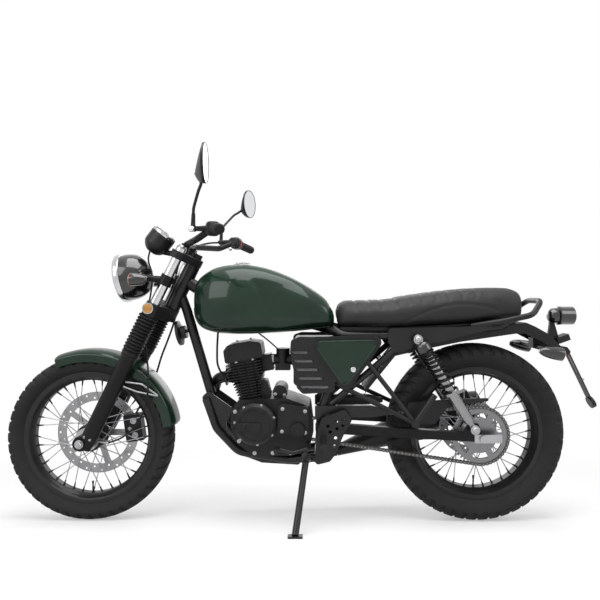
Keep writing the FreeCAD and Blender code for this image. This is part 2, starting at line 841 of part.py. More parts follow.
def rim(centre, radius, width, rim_width):
    """A spoked rim: flanges that lie along the tyre's flanks, two bead seats and a deeper well between them."""
    half = rim_width / 2
    bead, widest = tyre_points(radius, width, rim_width)[:2]
    share = (RIM_FLANGE_RADIUS - bead[0]) / (widest[0] - bead[0])
    side = [
        (RIM_WELL_RADIUS, half / 3),
        (RIM_SEAT_RADIUS - RIM_WALL, half),
        (RIM_FLANGE_RADIUS, half),
        (RIM_FLANGE_RADIUS, bead[1] + (widest[1] - bead[1]) * share),
        bead,
    ]
    return revolve_y(side + [(r, -y) for r, y in reversed(side)], centre)


def hub(centre, width, bore):
    """A barrel with two flanges that hold the spokes' heads."""
    half = width / 2
    inner = half - HUB_FLANGE_WALL
    return revolve_y(
        [
            (bore, half),
            (HUB_FLANGE_RADIUS, half),
            (HUB_FLANGE_RADIUS, inner),
            (HUB_BARREL_RADIUS, inner - HUB_FLANGE_WALL),
            (HUB_BARREL_RADIUS, -inner + HUB_FLANGE_WALL),
            (HUB_FLANGE_RADIUS, -inner),
            (HUB_FLANGE_RADIUS, -half),
            (bore, -half),
        ],
        centre,
    )


def spokes(centre, hub_width):
    """Laced spokes: each runs from a hub flange across its neighbours to the rim's well."""
    step = 360.0 / SPOKE_COUNT
    seat = HUB_FLANGE_RADIUS - 2 * SPOKE_RADIUS
    flange = hub_width / 2 - HUB_FLANGE_WALL / 2
    reach = RIM_WELL_RADIUS + RIM_WALL
    bars = []
    for i in range(SPOKE_COUNT):
        side = 1 if i % 2 else -1
        lead = 1 if (i // 2) % 2 else -1
        foot = math.radians(i * step)
        head = math.radians((i + lead * SPOKE_LEAD) * step)
        y = side * (flange + lead * SPOKE_STAGGER / 2)
        a = centre.add(Vector(seat * math.cos(head), y, seat * math.sin(head)))
        b = centre.add(Vector(reach * math.cos(foot), side * SPOKE_STAGGER, reach * math.sin(foot)))
        bars.append(rod(a, b, SPOKE_RADIUS))
    return bars


def laced_wheel(centre, radius, width, rim_width, hub_width, disc_place):
    """Rim, spokes and hub as one built wheel, with the boss that carries the brake disc."""
    bore = AXLE_RADIUS + RUNNING_GAP
    disc_face = disc_place - DISC_WALL / 2
    inner = hub_width / 2 - HUB_FLANGE_WALL
    boss = revolve_y([(bore, inner), (DISC_BOSS_RADIUS, inner), (DISC_BOSS_RADIUS, disc_face), (bore, disc_face)], centre)
    return fuse(rim(centre, radius, width, rim_width), hub(centre, hub_width, bore), boss, spokes(centre, hub_width))


def brake_disc(centre, place, radius, bore):
    """A ring with ventilation holes, carried on curved arms."""
    low = place - DISC_WALL / 2
    disc = revolve_y(
        [(bore, low), (radius, low), (radius, low + DISC_WALL), (bore, low + DISC_WALL)], centre
    )
    inner = radius - DISC_BAND
    core = HUB_FLANGE_RADIUS - DISC_WALL
    window = revolve_y(
        [(core, low - OVERRUN), (inner, low - OVERRUN), (inner, low + OVERRUN), (core, low + OVERRUN)],
        centre,
    )
    arms = []
    for i in range(DISC_ARMS):
        turn = 360.0 * i / DISC_ARMS
        arm = Part.makeBox(
            inner * 1.1,
            2 * OVERRUN + DISC_WALL,
            DISC_ARM_WIDTH,
            Vector(0, low - OVERRUN, -DISC_ARM_WIDTH / 2),
        )
        arm.rotate(ORIGIN, Y_AXIS, turn)
        arm.translate(centre)
        arms.append(arm)
    disc = cut(disc, cut(window, arms))
    holes = []
    for i in range(DISC_HOLES):
        turn = math.radians(360.0 * i / DISC_HOLES)
        out = radius - DISC_BAND * (0.3 if i % 2 else 0.68)
        hole = lateral(
            centre.x + out * math.cos(turn),
            centre.z + out * math.sin(turn),
            low - OVERRUN,
            low + OVERRUN,
            DISC_HOLE_RADIUS,
        )
        holes.append(hole)
    return cut(disc, holes)


def pitch_radius(teeth):
    return CHAIN_PITCH / (2 * math.sin(math.pi / teeth))


def sprocket():
    """A toothed ring on the rear hub: a valley for each roller, with windows between its arms."""
    radius = pitch_radius(REAR_TEETH)
    tip = radius + PLATE_HALF_HEIGHT * 0.55
    valley = radius - ROLLER_RADIUS - FIT_GAP
    corners = []
    for i in range(REAR_TEETH):
        for share, r in ((0.28, valley), (0.42, tip), (0.58, tip), (0.72, valley)):
            turn = 2 * math.pi * (i + share) / REAR_TEETH
            corners.append(Vector(r * math.cos(turn), 0, r * math.sin(turn)))
    ring = Part.Face(Part.makePolygon(corners + corners[:1]))
    body = ring.extrude(Vector(0, SPROCKET_WALL, 0))
    body.translate(REAR_AXLE.add(Vector(0, -CHAIN_LINE - SPROCKET_WALL / 2, 0)))
    low = -CHAIN_LINE - OVERRUN
    high = -CHAIN_LINE + OVERRUN
    core = SPROCKET_CARRIER_RADIUS
    outer = valley - DISC_BAND / 2
    window = revolve_y([(core, low), (outer, low), (outer, high), (core, high)], REAR_AXLE)
    arms = []
    for i in range(DISC_ARMS + 1):
        arm = Part.makeBox(outer * 1.1, 2 * OVERRUN, DISC_ARM_WIDTH, Vector(0, low, -DISC_ARM_WIDTH / 2))
        arm.rotate(ORIGIN, Y_AXIS, 360.0 * i / (DISC_ARMS + 1))
        arm.translate(REAR_AXLE)
        arms.append(arm)
    body = cut(body, cut(window, arms))
    bore = lateral(REAR_AXLE.x, REAR_AXLE.z, low, high, AXLE_RADIUS + FIT_GAP)
    carrier = lateral(
        REAR_AXLE.x, REAR_AXLE.z, -CHAIN_LINE + SPROCKET_WALL / 2, -REAR_HUB_WIDTH / 2, SPROCKET_CARRIER_RADIUS
    )
    return cut(fuse(body, carrier), bore)


def chain_corners():
    """The loop's corners as (centre, radius, outward): every second pin behind, every pin in front."""
    big, small = pitch_radius(REAR_TEETH), pitch_radius(FRONT_TEETH)
    front = Vector(FRONT_SPROCKET_X, 0, FRONT_SPROCKET_Z)
    rear = Vector(REAR_AXLE.x, 0, REAR_AXLE.z)
    line = front.sub(rear)
    aim = math.atan2(line.z, line.x)
    spread = math.acos((big - small) / line.Length)
    step = 4 * math.pi / REAR_TEETH
    first, last = aim + spread, aim + 2 * math.pi - spread
    valleys = [i * step for i in range(REAR_TEETH) if first + step / 4 < i * step < last - step / 4]
    places = [(rear, big, first)] + [(rear, big, turn) for turn in valleys] + [(rear, big, last)]
    places += [(front, small, aim - spread + 2 * spread * i / FRONT_CORNERS) for i in range(FRONT_CORNERS + 1)]
    corners = [(centre, radius, Vector(math.cos(turn), 0, math.sin(turn))) for centre, radius, turn in places]
    return corners, len(valleys)


def chain():
    """Two rows of side plates joined by rollers, in one closed loop round both sprockets."""
    corners, valleys = chain_corners()

    def loop(offset):
        points = [centre.add(Vector(out).multiply(radius + offset)) for centre, radius, out in corners]
        return Part.Face(Part.makePolygon(points + points[:1])).extrude(Vector(0, PLATE_WALL, 0))

    band = cut(loop(PLATE_HALF_HEIGHT), loop(-PLATE_HALF_HEIGHT))
    inner = CHAIN_INNER_WIDTH / 2
    sides = []
    for y in (-CHAIN_LINE - inner - PLATE_WALL, -CHAIN_LINE + inner):
        side = band.copy()
        side.translate(Vector(0, y, 0))
        sides.append(side)
    pins = [centre.add(Vector(out).multiply(radius)) for centre, radius, out in corners]
    spots = pins[1:valleys + 1] + pins[valleys + 2:]
    for a, b in ((pins[-1], pins[0]), (pins[valleys + 1], pins[valleys + 2])):
        along = b.sub(a)
        count = int(along.Length // (ROLLER_PITCHES * CHAIN_PITCH))
        spots += [a.add(Vector(along).multiply(i / count)) for i in range(1, count)]
    return fuse(sides, [roller(p) for p in spots])


def roller(place):
    """One roller with its pin, as a six-sided bar between the side plates."""
    reach = CHAIN_INNER_WIDTH / 2 + PLATE_WALL / 2
    corners = []
    for i in range(ROLLER_SIDES):
        turn = 2 * math.pi * i / ROLLER_SIDES
        corners.append(
            Vector(place.x + ROLLER_RADIUS * math.cos(turn), -CHAIN_LINE - reach, place.z + ROLLER_RADIUS * math.sin(turn))
        )
    return Part.Face(Part.makePolygon(corners + corners[:1])).extrude(Vector(0, 2 * reach, 0))


# Fork and steering

def hull_plate(circles, w0, w1):
    """A plate in the fork's frame that wraps round clamp circles given as (u, y, radius)."""
    solids = [Part.makeCylinder(r, w1 - w0, Vector(u, y, w0), Z_AXIS) for u, y, r in circles]
    for (u0, y0, r0), (u1, y1, r1) in zip(circles, circles[1:]):
        d = Vector(u1 - u0, y1 - y0, 0)
        n = Vector(-d.y, d.x, 0).normalize()
        a, b = Vector(u0, y0, w0), Vector(u1, y1, w0)
        corners = [
            a.add(Vector(n).multiply(r0)),
            b.add(Vector(n).multiply(r1)),
            b.sub(Vector(n).multiply(r1)),
            a.sub(Vector(n).multiply(r0)),
        ]
        solids.append(Part.Face(Part.makePolygon(corners + corners[:1])).extrude(Vector(0, 0, w1 - w0)))
    return fuse(solids)


def fork_tubes():
    tube = Part.makeCylinder(FORK_TUBE_RADIUS, FORK_TUBE_TOP - LOWER_TOP, Vector(AXLE_LEAD, HALF_LEGS, LOWER_TOP))
    return [on_fork(t) for t in pair(tube)]


def yokes():
    """Both yokes and the stem that turns in the head tube."""
    legs = [(AXLE_LEAD, -HALF_LEGS, YOKE_CLAMP_RADIUS), (STEER_OFFSET, 0, STEM_BOSS_RADIUS)]
    ring = legs + [(AXLE_LEAD, HALF_LEGS, YOKE_CLAMP_RADIUS)]
    lower = hull_plate(ring, LOWER_YOKE_BASE, LOWER_YOKE_BASE + LOWER_YOKE_WALL)
    upper = hull_plate(ring, UPPER_YOKE_BASE, UPPER_YOKE_BASE + UPPER_YOKE_WALL)
    top = UPPER_YOKE_BASE + UPPER_YOKE_WALL
    stem = Part.makeCylinder(STEM_RADIUS, top - LOWER_YOKE_BASE, Vector(STEER_OFFSET, 0, LOWER_YOKE_BASE))
    nut = Part.makeCylinder(STEM_RADIUS * 1.2, STEM_NUT_HEIGHT, Vector(STEER_OFFSET, 0, top))
    holes = [
        Part.makeCylinder(FORK_TUBE_RADIUS, FORK_TUBE_TOP, Vector(AXLE_LEAD, y, LOWER_TOP))
        for y in (-HALF_LEGS, HALF_LEGS)
    ]
    risers = []
    for y in (-BAR_CLAMP_Y, BAR_CLAMP_Y):
        risers.append(Part.makeCylinder(BAR_RADIUS * 1.4, BAR_CLAMP_RISE, Vector(AXLE_LEAD, y, top)))
    return on_fork(cut(fuse(lower, upper, stem, nut, risers), holes))


def gaiters():
    """Ribbed rubber boots over the sliding part of the fork tubes."""
    pitch = (GAITER_TOP - LOWER_TOP) / GAITER_RIBS
    profile = [(0, FORK_TUBE_RADIUS)]
    for i in range(GAITER_RIBS):
        profile.append((i * pitch, GAITER_NECK_RADIUS))
        profile.append(((i + 0.5) * pitch, GAITER_RADIUS))
    profile.append((GAITER_RIBS * pitch, GAITER_NECK_RADIUS))
    profile.append((GAITER_RIBS * pitch, FORK_TUBE_RADIUS))
    boot = turned(profile, Vector(AXLE_LEAD, HALF_LEGS, LOWER_TOP), Z_AXIS)
    return [on_fork(b) for b in pair(boot)]


def fork_lowers():
    """The sliding legs, each with its axle boss."""
    out = HALF_LEGS
    leg = turned(
        [
            (-LOWER_FOOT, 0),
            (-LOWER_FOOT, LOWER_RADIUS * 0.8),
            (LOWER_FOOT * 2, LOWER_RADIUS),
            (LOWER_TOP - LOWER_FOOT, LOWER_RADIUS),
            (LOWER_TOP - LOWER_FOOT, LOWER_RADIUS * 1.1),
            (LOWER_TOP, LOWER_RADIUS * 1.1),
            (LOWER_TOP, 0),
        ],
        Vector(AXLE_LEAD, out, 0),
        Z_AXIS,
    )
    boss = rod(Vector(0, out - LOWER_RADIUS, 0), Vector(0, out + AXLE_BOSS_REACH, 0), AXLE_BOSS_RADIUS)
    bore = rod(Vector(0, out - OVERRUN, 0), Vector(0, out + OVERRUN * 2, 0), AXLE_RADIUS)
    leg = cut(fuse(leg, boss), bore)
    return [on_fork(s) for s in pair(leg)]


def front_axle():
    """The axle with its nuts and spacers, and the speedometer drive between the hub and the left leg."""
    x, z = FRONT_AXLE.x, FRONT_AXLE.z
    reach = HALF_LEGS + AXLE_BOSS_REACH
    gap = HALF_LEGS - LOWER_RADIUS
    shapes = [
        lateral(x, z, -reach, reach, AXLE_RADIUS),
        lateral(x, z, reach, reach + AXLE_NUT_WALL, AXLE_NUT_RADIUS),
        lateral(x, z, -reach - AXLE_NUT_WALL, -reach, AXLE_NUT_RADIUS),
        lateral(x, z, -gap, -FRONT_HUB_WIDTH / 2 - 2 * FIT_GAP, AXLE_NUT_RADIUS),
        lateral(x, z, FRONT_DISC_PLACE + DISC_WALL / 2 + 2 * FIT_GAP, gap, AXLE_NUT_RADIUS),
        lateral(x, z, DRIVE_OUTER_Y, DRIVE_INNER_Y, DRIVE_RADIUS),
    ]
    root = Vector(x + DRIVE_RADIUS / 2, (DRIVE_OUTER_Y + DRIVE_INNER_Y) / 2, z)
    return fuse(shapes, rod(root, Vector(*DRIVE_OUTLET), DRIVE_OUTLET_RADIUS))


def guard_arc(centre, crest, width, skirt, wall, start, end):
    """A mudguard: an arched section swept round the wheel, angles from the top towards the rear."""
    half = width / 2
    outer = [(crest - skirt, half), (crest - skirt * 0.3, half), (crest, half * 0.45)]
    inner = [(crest - wall, half * 0.45 - wall / 2), (crest - skirt * 0.3 - wall / 2, half - wall), (crest - skirt, half - wall)]
    points = outer + [(r, -y) for r, y in reversed(outer)]
    points += [(r, -y) for r, y in reversed(inner)] + inner
    corners = [Vector(centre.x, y, centre.z + r) for r, y in points]
    face = Part.Face(Part.makePolygon(corners + corners[:1]))
    face.rotate(centre, Y_AXIS, start)
    return face.revolve(centre, Y_AXIS, end - start)


def front_mudguard(legs):
    shell = guard_arc(
        FRONT_AXLE, FRONT_GUARD_RADIUS, FRONT_GUARD_WIDTH, FRONT_GUARD_SKIRT, GUARD_WALL,
        FRONT_GUARD_START, FRONT_GUARD_END,
    )
    top = on_fork(rod(Vector(AXLE_LEAD, -HALF_LEGS, FRONT_GUARD_RADIUS), Vector(AXLE_LEAD, HALF_LEGS, FRONT_GUARD_RADIUS), GUARD_BRIDGE_RADIUS))
    loop = bent_tube([Vector(*p) for p in GUARD_LOOP], GUARD_LOOP_BEND, GUARD_LOOP_RADIUS)
    return cut(fuse(shell, top, pair(loop)), legs)


def headlight():
    """A bowl with its rim; the lens is its own piece."""
    dip = math.radians(HEADLIGHT_DIP)
    back = Vector(math.cos(dip), 0, math.sin(dip))
    place = Vector(HEADLIGHT_X, 0, HEADLIGHT_Z)
    r, d = HEADLIGHT_RADIUS, HEADLIGHT_DEPTH
    bowl = turned(
        [
            (0, 0),
            (0, r),
            (HEADLIGHT_RIM, r),
            (HEADLIGHT_RIM, r * 0.95),
            (d * 0.45, r * 0.9),
            (d * 0.7, r * 0.72),
            (d * 0.88, r * 0.48),
            (d, r * 0.18),
            (d, 0),
        ],
        place,
        back,
    )
    front = Vector(back).multiply(-1)
    lens = turned([(0, 0), (0, r * 0.93), (LENS_BULGE * 0.6, r * 0.7), (LENS_BULGE, 0)], place, front)
    return bowl, lens


def instrument():
    """The round clock, tilted back to face the rider."""
    tilt = math.radians(INSTRUMENT_TILT)
    down = Vector(-math.sin(tilt), 0, -math.cos(tilt))
    r, d = INSTRUMENT_RADIUS, INSTRUMENT_DEPTH
    return turned(
        [(0, 0), (0, r), (d * 0.68, r), (d * 0.9, r * 0.75), (d, r * 0.4), (d, 0)],
        Vector(INSTRUMENT_X, 0, INSTRUMENT_Z),
        down,
    )


def bar_points():
    clamp = at_fork(AXLE_LEAD, BAR_CLAMP_Y, UPPER_YOKE_BASE + UPPER_YOKE_WALL + BAR_CLAMP_RISE)
    side = [clamp, Vector(*BAR_KNEE), Vector(*BAR_HEEL), Vector(*BAR_END)]
    return [Vector(p.x, -p.y, p.z) for p in reversed(side[1:])] + side[1:], clamp


def handlebar():
    side, clamp = bar_points()
    middle = [Vector(clamp.x, -clamp.y, clamp.z), clamp]
    count = len(side) // 2
    return bent_tube(side[:count] + middle + side[count:], BAR_BEND, BAR_RADIUS)


def controls(bar):
    """Grips, switch housings, perches and levers, one set a side."""
    heel, end = Vector(*BAR_HEEL), Vector(*BAR_END)
    inward = heel.sub(end).normalize()
    grip_in = end.add(Vector(inward).multiply(GRIP_LENGTH))
    past = end.sub(Vector(inward).multiply(GRIP_RADIUS / 2))
    grip = rod(past, grip_in, GRIP_RADIUS)
    box = rod(grip_in, grip_in.add(Vector(inward).multiply(SWITCH_LENGTH)), SWITCH_RADIUS)
    root = grip_in.add(Vector(inward).multiply(SWITCH_LENGTH * 0.7))
    perch = root.add(Vector(-LEVER_REACH * 0.7, 0, 0))
    arm = rod(root, perch, BAR_RADIUS)
    tip = end.add(Vector(inward).multiply(GRIP_RADIUS)).add(Vector(-LEVER_REACH, 0, 0))
    lever = rod(perch, tip, LEVER_RADIUS)
    ball = Part.makeSphere(LEVER_RADIUS * 1.7, tip)
    return [cut(s, bar) for s in pair(fuse(grip, box, arm, lever, ball))]


def mirror_tip(side):
    """Where a mirror's stem ends, from the middle of its glass."""
    return Vector(-MIRROR_DEPTH, -side * MIRROR_APEX_SHIFT, -MIRROR_APEX_DROP)


def mirror_shell(side):
    """A short rim and a cone behind it that leans down and inward to the stem."""
    back = Vector(-MIRROR_RIM, 0, 0)
    rim_part = rod(back, ORIGIN, MIRROR_RADIUS)
    wide = Part.Wire([Part.makeCircle(MIRROR_RADIUS, back, X_AXIS)])
    small = Part.Wire([Part.makeCircle(MIRROR_APEX_RADIUS, mirror_tip(side), X_AXIS)])
    return fuse(rim_part, Part.makeLoft([small, wide], True, True))


def mirrors():
    """Round mirrors on bent stems that rise from the lever perches."""
    out = []
    for side, x, turn in ((-1, LEFT_MIRROR_X, LEFT_MIRROR_TURN), (1, RIGHT_MIRROR_X, RIGHT_MIRROR_TURN)):
        def at(p):
            return Vector(p[0], side * p[1], p[2])
        head = Vector(x, side * MIRROR_Y, MIRROR_Z)
        boot = rod(at(MIRROR_BASE), at(MIRROR_ELBOW), MIRROR_BOOT_RADIUS)
        shell = mirror_shell(side)
        shell.rotate(ORIGIN, Z_AXIS, -side * turn)
        shell.translate(head)
        tip = mirror_tip(side)
        tip = Rotation(Z_AXIS, -side * turn).multVec(tip).add(head)
        bowl = shell
        stem = bent_tube([at(MIRROR_BASE), at(MIRROR_ELBOW), at(MIRROR_ROD_END), tip], MIRROR_STEM_RADIUS * 4, MIRROR_STEM_RADIUS)
        out.append(fuse(boot, stem, bowl))
    return out


# Engine

def crankcase():
    """The castings below the cylinder with the generator cover, the clutch cover and the sprocket cover."""
    half = CASE_HALF_WIDTH
    core = plate_xz(CASE_OUTLINE, -half, half, CASE_CORNER)
    left = turned(
        [(-FIT_GAP, 0), (-FIT_GAP, COVER_RADIUS), (COVER_REACH * 0.8, COVER_RADIUS), (COVER_REACH, COVER_RADIUS * 0.86), (COVER_REACH, 0)],
        Vector(COVER_X, -half, COVER_Z),
        Vector(0, -1, 0),
    )
    band = plate_xz(COVER_BAND, -half - COVER_REACH - COVER_STEP, -half - COVER_REACH + FIT_GAP, COVER_BAND_CORNER)
    band = band.common(lateral(COVER_X, COVER_Z, -half - COVER_REACH - 2 * COVER_STEP, 0, COVER_RADIUS * 0.86))
    right = lateral(CLUTCH_X, COVER_Z, half - FIT_GAP, half + COVER_REACH, COVER_RADIUS)
    side = plate_xz(SPROCKET_COVER, -SPROCKET_COVER_Y, -half + FIT_GAP, COVER_BAND_CORNER)
    boss = lateral(
        FRONT_SPROCKET_X, FRONT_SPROCKET_Z, -SPROCKET_COVER_Y - SPROCKET_BOSS_REACH, -half, SPROCKET_BOSS_RADIUS
    )
    starter = lateral(STARTER_X, STARTER_Z, -STARTER_HALF_LENGTH, STARTER_HALF_LENGTH, STARTER_RADIUS)
    tensioner = plate_xz(TENSIONER, -TENSIONER_Y, COVER_BAND_CORNER, COVER_BAND_CORNER)
    return fuse(core, left, band, right, side, boss, starter, tensioner)


def cylinder():
    """Barrel, head and head cover, with cooling fins square to the cylinder's own line."""
    deep = CYLINDER_HALF_WIDTH
    core = FIN_DEPTH
    top = BARREL_HEIGHT + HEAD_HEIGHT
    parts = [block(core - BARREL_FRONT_FOOT, BARREL_REAR_FOOT - core / 2, -deep + core, deep - core, 0, top)]
    parts.append(block(core - HEAD_HALF, HEAD_REAR - core, -deep + core, deep - core, BARREL_HEIGHT, top))
    count = int(top // FIN_PITCH)
    for i in range(count):
        z = i * FIN_PITCH + FIN_WALL
        share = z / BARREL_HEIGHT
        front = BARREL_FRONT_FOOT + (BARREL_FRONT_TOP - BARREL_FRONT_FOOT) * share
        rear = BARREL_REAR_FOOT + (BARREL_REAR_TOP - BARREL_REAR_FOOT) * share
        if z > BARREL_HEIGHT:
            front, rear = HEAD_HALF, HEAD_REAR
        parts.append(block(-front, rear, -deep, deep, z, z + FIN_WALL))
    parts.append(plate_xz(HEAD_COVER, -HEAD_COVER_HALF_WIDTH, HEAD_COVER_HALF_WIDTH, HEAD_COVER_CORNER))
    parts.append(plate_xz(INTAKE, -INTAKE_HALF_WIDTH, INTAKE_HALF_WIDTH))
    grooves = []
    for x in STUD_PLACES:
        for y in (-deep - OVERRUN, deep - STUD_DEPTH):
            grooves.append(
                block(x - STUD_CHANNEL / 2, x + STUD_CHANNEL / 2, y, y + STUD_DEPTH + OVERRUN, STUD_FOOT, top - FIN_WALL)
            )
    body = cut(fuse(parts), grooves)
    port = rod(Vector(-HEAD_HALF - PORT_REACH, 0, PORT_RISE), Vector(0, 0, PORT_RISE), PORT_RADIUS)
    body = fuse(body, port)
    body.rotate(ORIGIN, Y_AXIS, -CYLINDER_TILT)
    body.translate(Vector(CYLINDER_X, 0, CYLINDER_Z))
    return body


def frame():
    """Head tube, backbone, down tube, engine plates, cradle rails, uprights and seat rails."""
    head = Part.makeCylinder(
        HEAD_TUBE_RADIUS,
        UPPER_YOKE_BASE - LOWER_YOKE_BASE - LOWER_YOKE_WALL - 2 * HEAD_TUBE_GAP,
        Vector(STEER_OFFSET, 0, LOWER_YOKE_BASE + LOWER_YOKE_WALL + HEAD_TUBE_GAP),
    )
    bore = Part.makeCylinder(STEM_RADIUS + RUNNING_GAP, FORK_TUBE_TOP, Vector(STEER_OFFSET, 0, LOWER_TOP))
    neck = at_fork(STEER_OFFSET, 0, BACKBONE_RISE)
    chin = at_fork(STEER_OFFSET, 0, DOWN_TUBE_RISE)
    backbone = bent_tube([neck] + [Vector(*p) for p in BACKBONE_ROUTE], BACKBONE_BEND, BACKBONE_RADIUS)
    down = bent_tube([chin] + [Vector(*p) for p in DOWN_TUBE_ROUTE], BACKBONE_BEND, DOWN_TUBE_RADIUS)
    shapes = [on_fork(head), backbone, down]
    low = plate_xz(CRADLE_PLATE, CRADLE_Y, CRADLE_Y + FRAME_PLATE_WALL, CRADLE_CORNER)
    rail = bent_tube([Vector(*p) for p in CRADLE_ROUTE], BACKBONE_BEND, TUBE_RADIUS)
    pivot = plate_xz(PIVOT_PLATE, PIVOT_PLATE_Y, PIVOT_PLATE_Y + FRAME_PLATE_WALL, CRADLE_CORNER)
    upright = rod(Vector(*UPRIGHT_FOOT), Vector(*UPRIGHT_HEAD), TUBE_RADIUS)
    seat_rail = bent_tube([Vector(*p) for p in SEAT_RAIL_ROUTE], BACKBONE_BEND, TUBE_RADIUS)
    brace = rod(Vector(*BRACE_FOOT), Vector(*BRACE_HEAD), TUBE_RADIUS * 0.8)
    strut = plate_xz(STRUT_PLATE, STRUT_Y, STRUT_Y + STRUT_WALL, CRADLE_CORNER / 2)
    gusset = plate_xz(TAIL_GUSSET, RAIL_Y + TUBE_RADIUS * 0.8, RAIL_Y + TUBE_RADIUS * 0.8 + FRAME_PLATE_WALL, CRADLE_CORNER)
    shock_pin = lateral(SHOCK_TOP_X, SHOCK_TOP_Z, RAIL_Y, SHOCK_Y + SHOCK_EYE_WIDTH / 2 + FRAME_PLATE_WALL, SHOCK_PIN_RADIUS)
    for piece in (low, rail, pivot, upright, seat_rail, brace, strut, gusset, shock_pin):
        shapes.extend(pair(piece))
    for x, z in CROSS_TUBES:
        shapes.append(lateral(x, z, -RAIL_Y, RAIL_Y, TUBE_RADIUS * 0.8))
    shapes.append(lateral(CRADLE_ROUTE[0][0], CRADLE_ROUTE[0][2], -CRADLE_Y, CRADLE_Y, TUBE_RADIUS))
    shapes.append(lateral(PIVOT_X, PIVOT_Z, -PIVOT_END_Y, PIVOT_END_Y, PIVOT_RADIUS))
    body = fuse(shapes)
    return cut(body, on_fork(bore))


def swingarm():
    """Two box-section arms with a pivot sleeve and a cross tube."""
    half = SWINGARM_HEIGHT / 2
    x0, z0, x1, z1 = PIVOT_X, PIVOT_Z, REAR_AXLE.x, REAR_AXLE.z
    arm = plate_xz(
        [
            (x0 - half * 1.2, z0 - half),
            (x0 - half * 1.2, z0 + half),
            (x1 + half * 2, z1 + half * 0.8),
            (x1 + half * 2, z1 - half * 0.8),
        ],
        SWINGARM_Y - SWINGARM_HALF_WIDTH,
        SWINGARM_Y + SWINGARM_HALF_WIDTH,
        half * 0.6,
    )
    lug = plate_xz(
        [
            (SHOCK_FOOT_X - half * 2.4, z1 + half * 0.5),
            (SHOCK_FOOT_X - half, SHOCK_FOOT_Z + half),
            (SHOCK_FOOT_X + half, SHOCK_FOOT_Z + half),
            (SHOCK_FOOT_X + half * 2, z1 + half * 0.5),
        ],
        SWINGARM_Y + SWINGARM_HALF_WIDTH - FRAME_PLATE_WALL,
        SWINGARM_Y + SWINGARM_HALF_WIDTH,
        half * 0.5,
    )
    pin = lateral(SHOCK_FOOT_X, SHOCK_FOOT_Z, SWINGARM_Y, SHOCK_Y + SHOCK_EYE_WIDTH / 2 + FRAME_PLATE_WALL, SHOCK_PIN_RADIUS)
    sides = pair(arm) + pair(lug) + pair(pin)
    cross = lateral(CROSS_TUBE_X, z0 - FRAME_PLATE_WALL / 2, -SWINGARM_Y, SWINGARM_Y, SWINGARM_HALF_WIDTH)
    bore = lateral(x0, z0, -PIVOT_END_Y * 2, PIVOT_END_Y * 2, PIVOT_RADIUS)
    axle_hole = lateral(x1, z1, -PIVOT_END_Y * 2, PIVOT_END_Y * 2, AXLE_RADIUS)
    return cut(fuse(sides, cross), bore, axle_hole)


def rear_axle():
    reach = SWINGARM_Y + SWINGARM_HALF_WIDTH
    shapes = [lateral(REAR_AXLE.x, REAR_AXLE.z, -reach, reach, AXLE_RADIUS)]
    inner = SWINGARM_Y - SWINGARM_HALF_WIDTH
    hub_left = CHAIN_LINE + SPROCKET_WALL / 2 + 2 * FIT_GAP
    hub_right = REAR_DISC_PLACE + DISC_WALL / 2 + 2 * FIT_GAP
    for y0, y1 in ((-inner, -hub_left), (hub_right, inner)):
        shapes.append(lateral(REAR_AXLE.x, REAR_AXLE.z, y0, y1, AXLE_NUT_RADIUS))
    x, z, half = REAR_AXLE.x, REAR_AXLE.z, ADJUSTER_HALF_HEIGHT
    plate = block(x - ADJUSTER_FRONT, x + ADJUSTER_REAR, reach, reach + ADJUSTER_WALL, z - half, z + half)
    nut = lateral(x, z, reach, reach + ADJUSTER_WALL + AXLE_NUT_WALL, AXLE_NUT_RADIUS)
    return fuse(shapes, pair(plate), pair(nut))


def shocks():
    """Spring and damper units: eyes at both ends, a spring over the upper half and a bright body below."""
    top = Vector(SHOCK_TOP_X, SHOCK_Y, SHOCK_TOP_Z)
    foot = Vector(SHOCK_FOOT_X, SHOCK_Y, SHOCK_FOOT_Z)
    along = foot.sub(top)
    length = along.Length
    start, end = length * 0.13, length * 0.56
    profile = [(0, 0), (0, DAMPER_RADIUS), (start * 0.75, DAMPER_RADIUS), (start, SPRING_RADIUS)]
    place = start
    for i in range(SPRING_COILS):
        pitch = (end - start) / SPRING_COILS * (0.5 + i / (SPRING_COILS - 1))
        profile.append((place + 0.25 * pitch, SPRING_RADIUS))
        profile.append((place + 0.5 * pitch, SPRING_RADIUS * 0.8))
        profile.append((place + 0.75 * pitch, SPRING_RADIUS * 0.8))
        profile.append((place + pitch, SPRING_RADIUS))
        place += pitch
    profile += [
        (end + pitch / 2, SPRING_RADIUS),
        (end + pitch / 2, DAMPER_RADIUS),
        (length * 0.9, DAMPER_RADIUS),
        (length * 0.93, DAMPER_RADIUS * 0.6),
        (length, DAMPER_RADIUS * 0.6),
        (length, 0),
    ]
    body = turned(profile, top, along)
    eyes = []
    for p in (top, foot):
        eyes.append(lateral(p.x, p.z, p.y - SHOCK_EYE_WIDTH / 2, p.y + SHOCK_EYE_WIDTH / 2, SHOCK_EYE_RADIUS))
    holes = [lateral(p.x, p.z, 0, SHOCK_Y * 2, SHOCK_PIN_RADIUS) for p in (top, foot)]
    return pair(cut(fuse(body, eyes), holes))


# Bodywork

def ring_section(x, half, base, top, waist_share, power):
    """A closed rounded section: its widest line lies at a share of its height."""
    waist = base + (top - base) * waist_share
    points = []
    for i in range(SECTION_POINTS):
        turn = 2 * math.pi * i / SECTION_POINTS
        c, s = math.cos(turn), math.sin(turn)
        y = half * math.copysign(abs(c) ** (2 / power), c)
        rise = (top - waist) if s > 0 else (waist - base)
        z = waist + rise * math.copysign(abs(s) ** (2 / power), s)
        points.append(Vector(x, y, z))
    curve = Part.BSplineCurve()
    curve.interpolate(Points=points, PeriodicFlag=True)
    return Part.Wire([curve.toShape()])


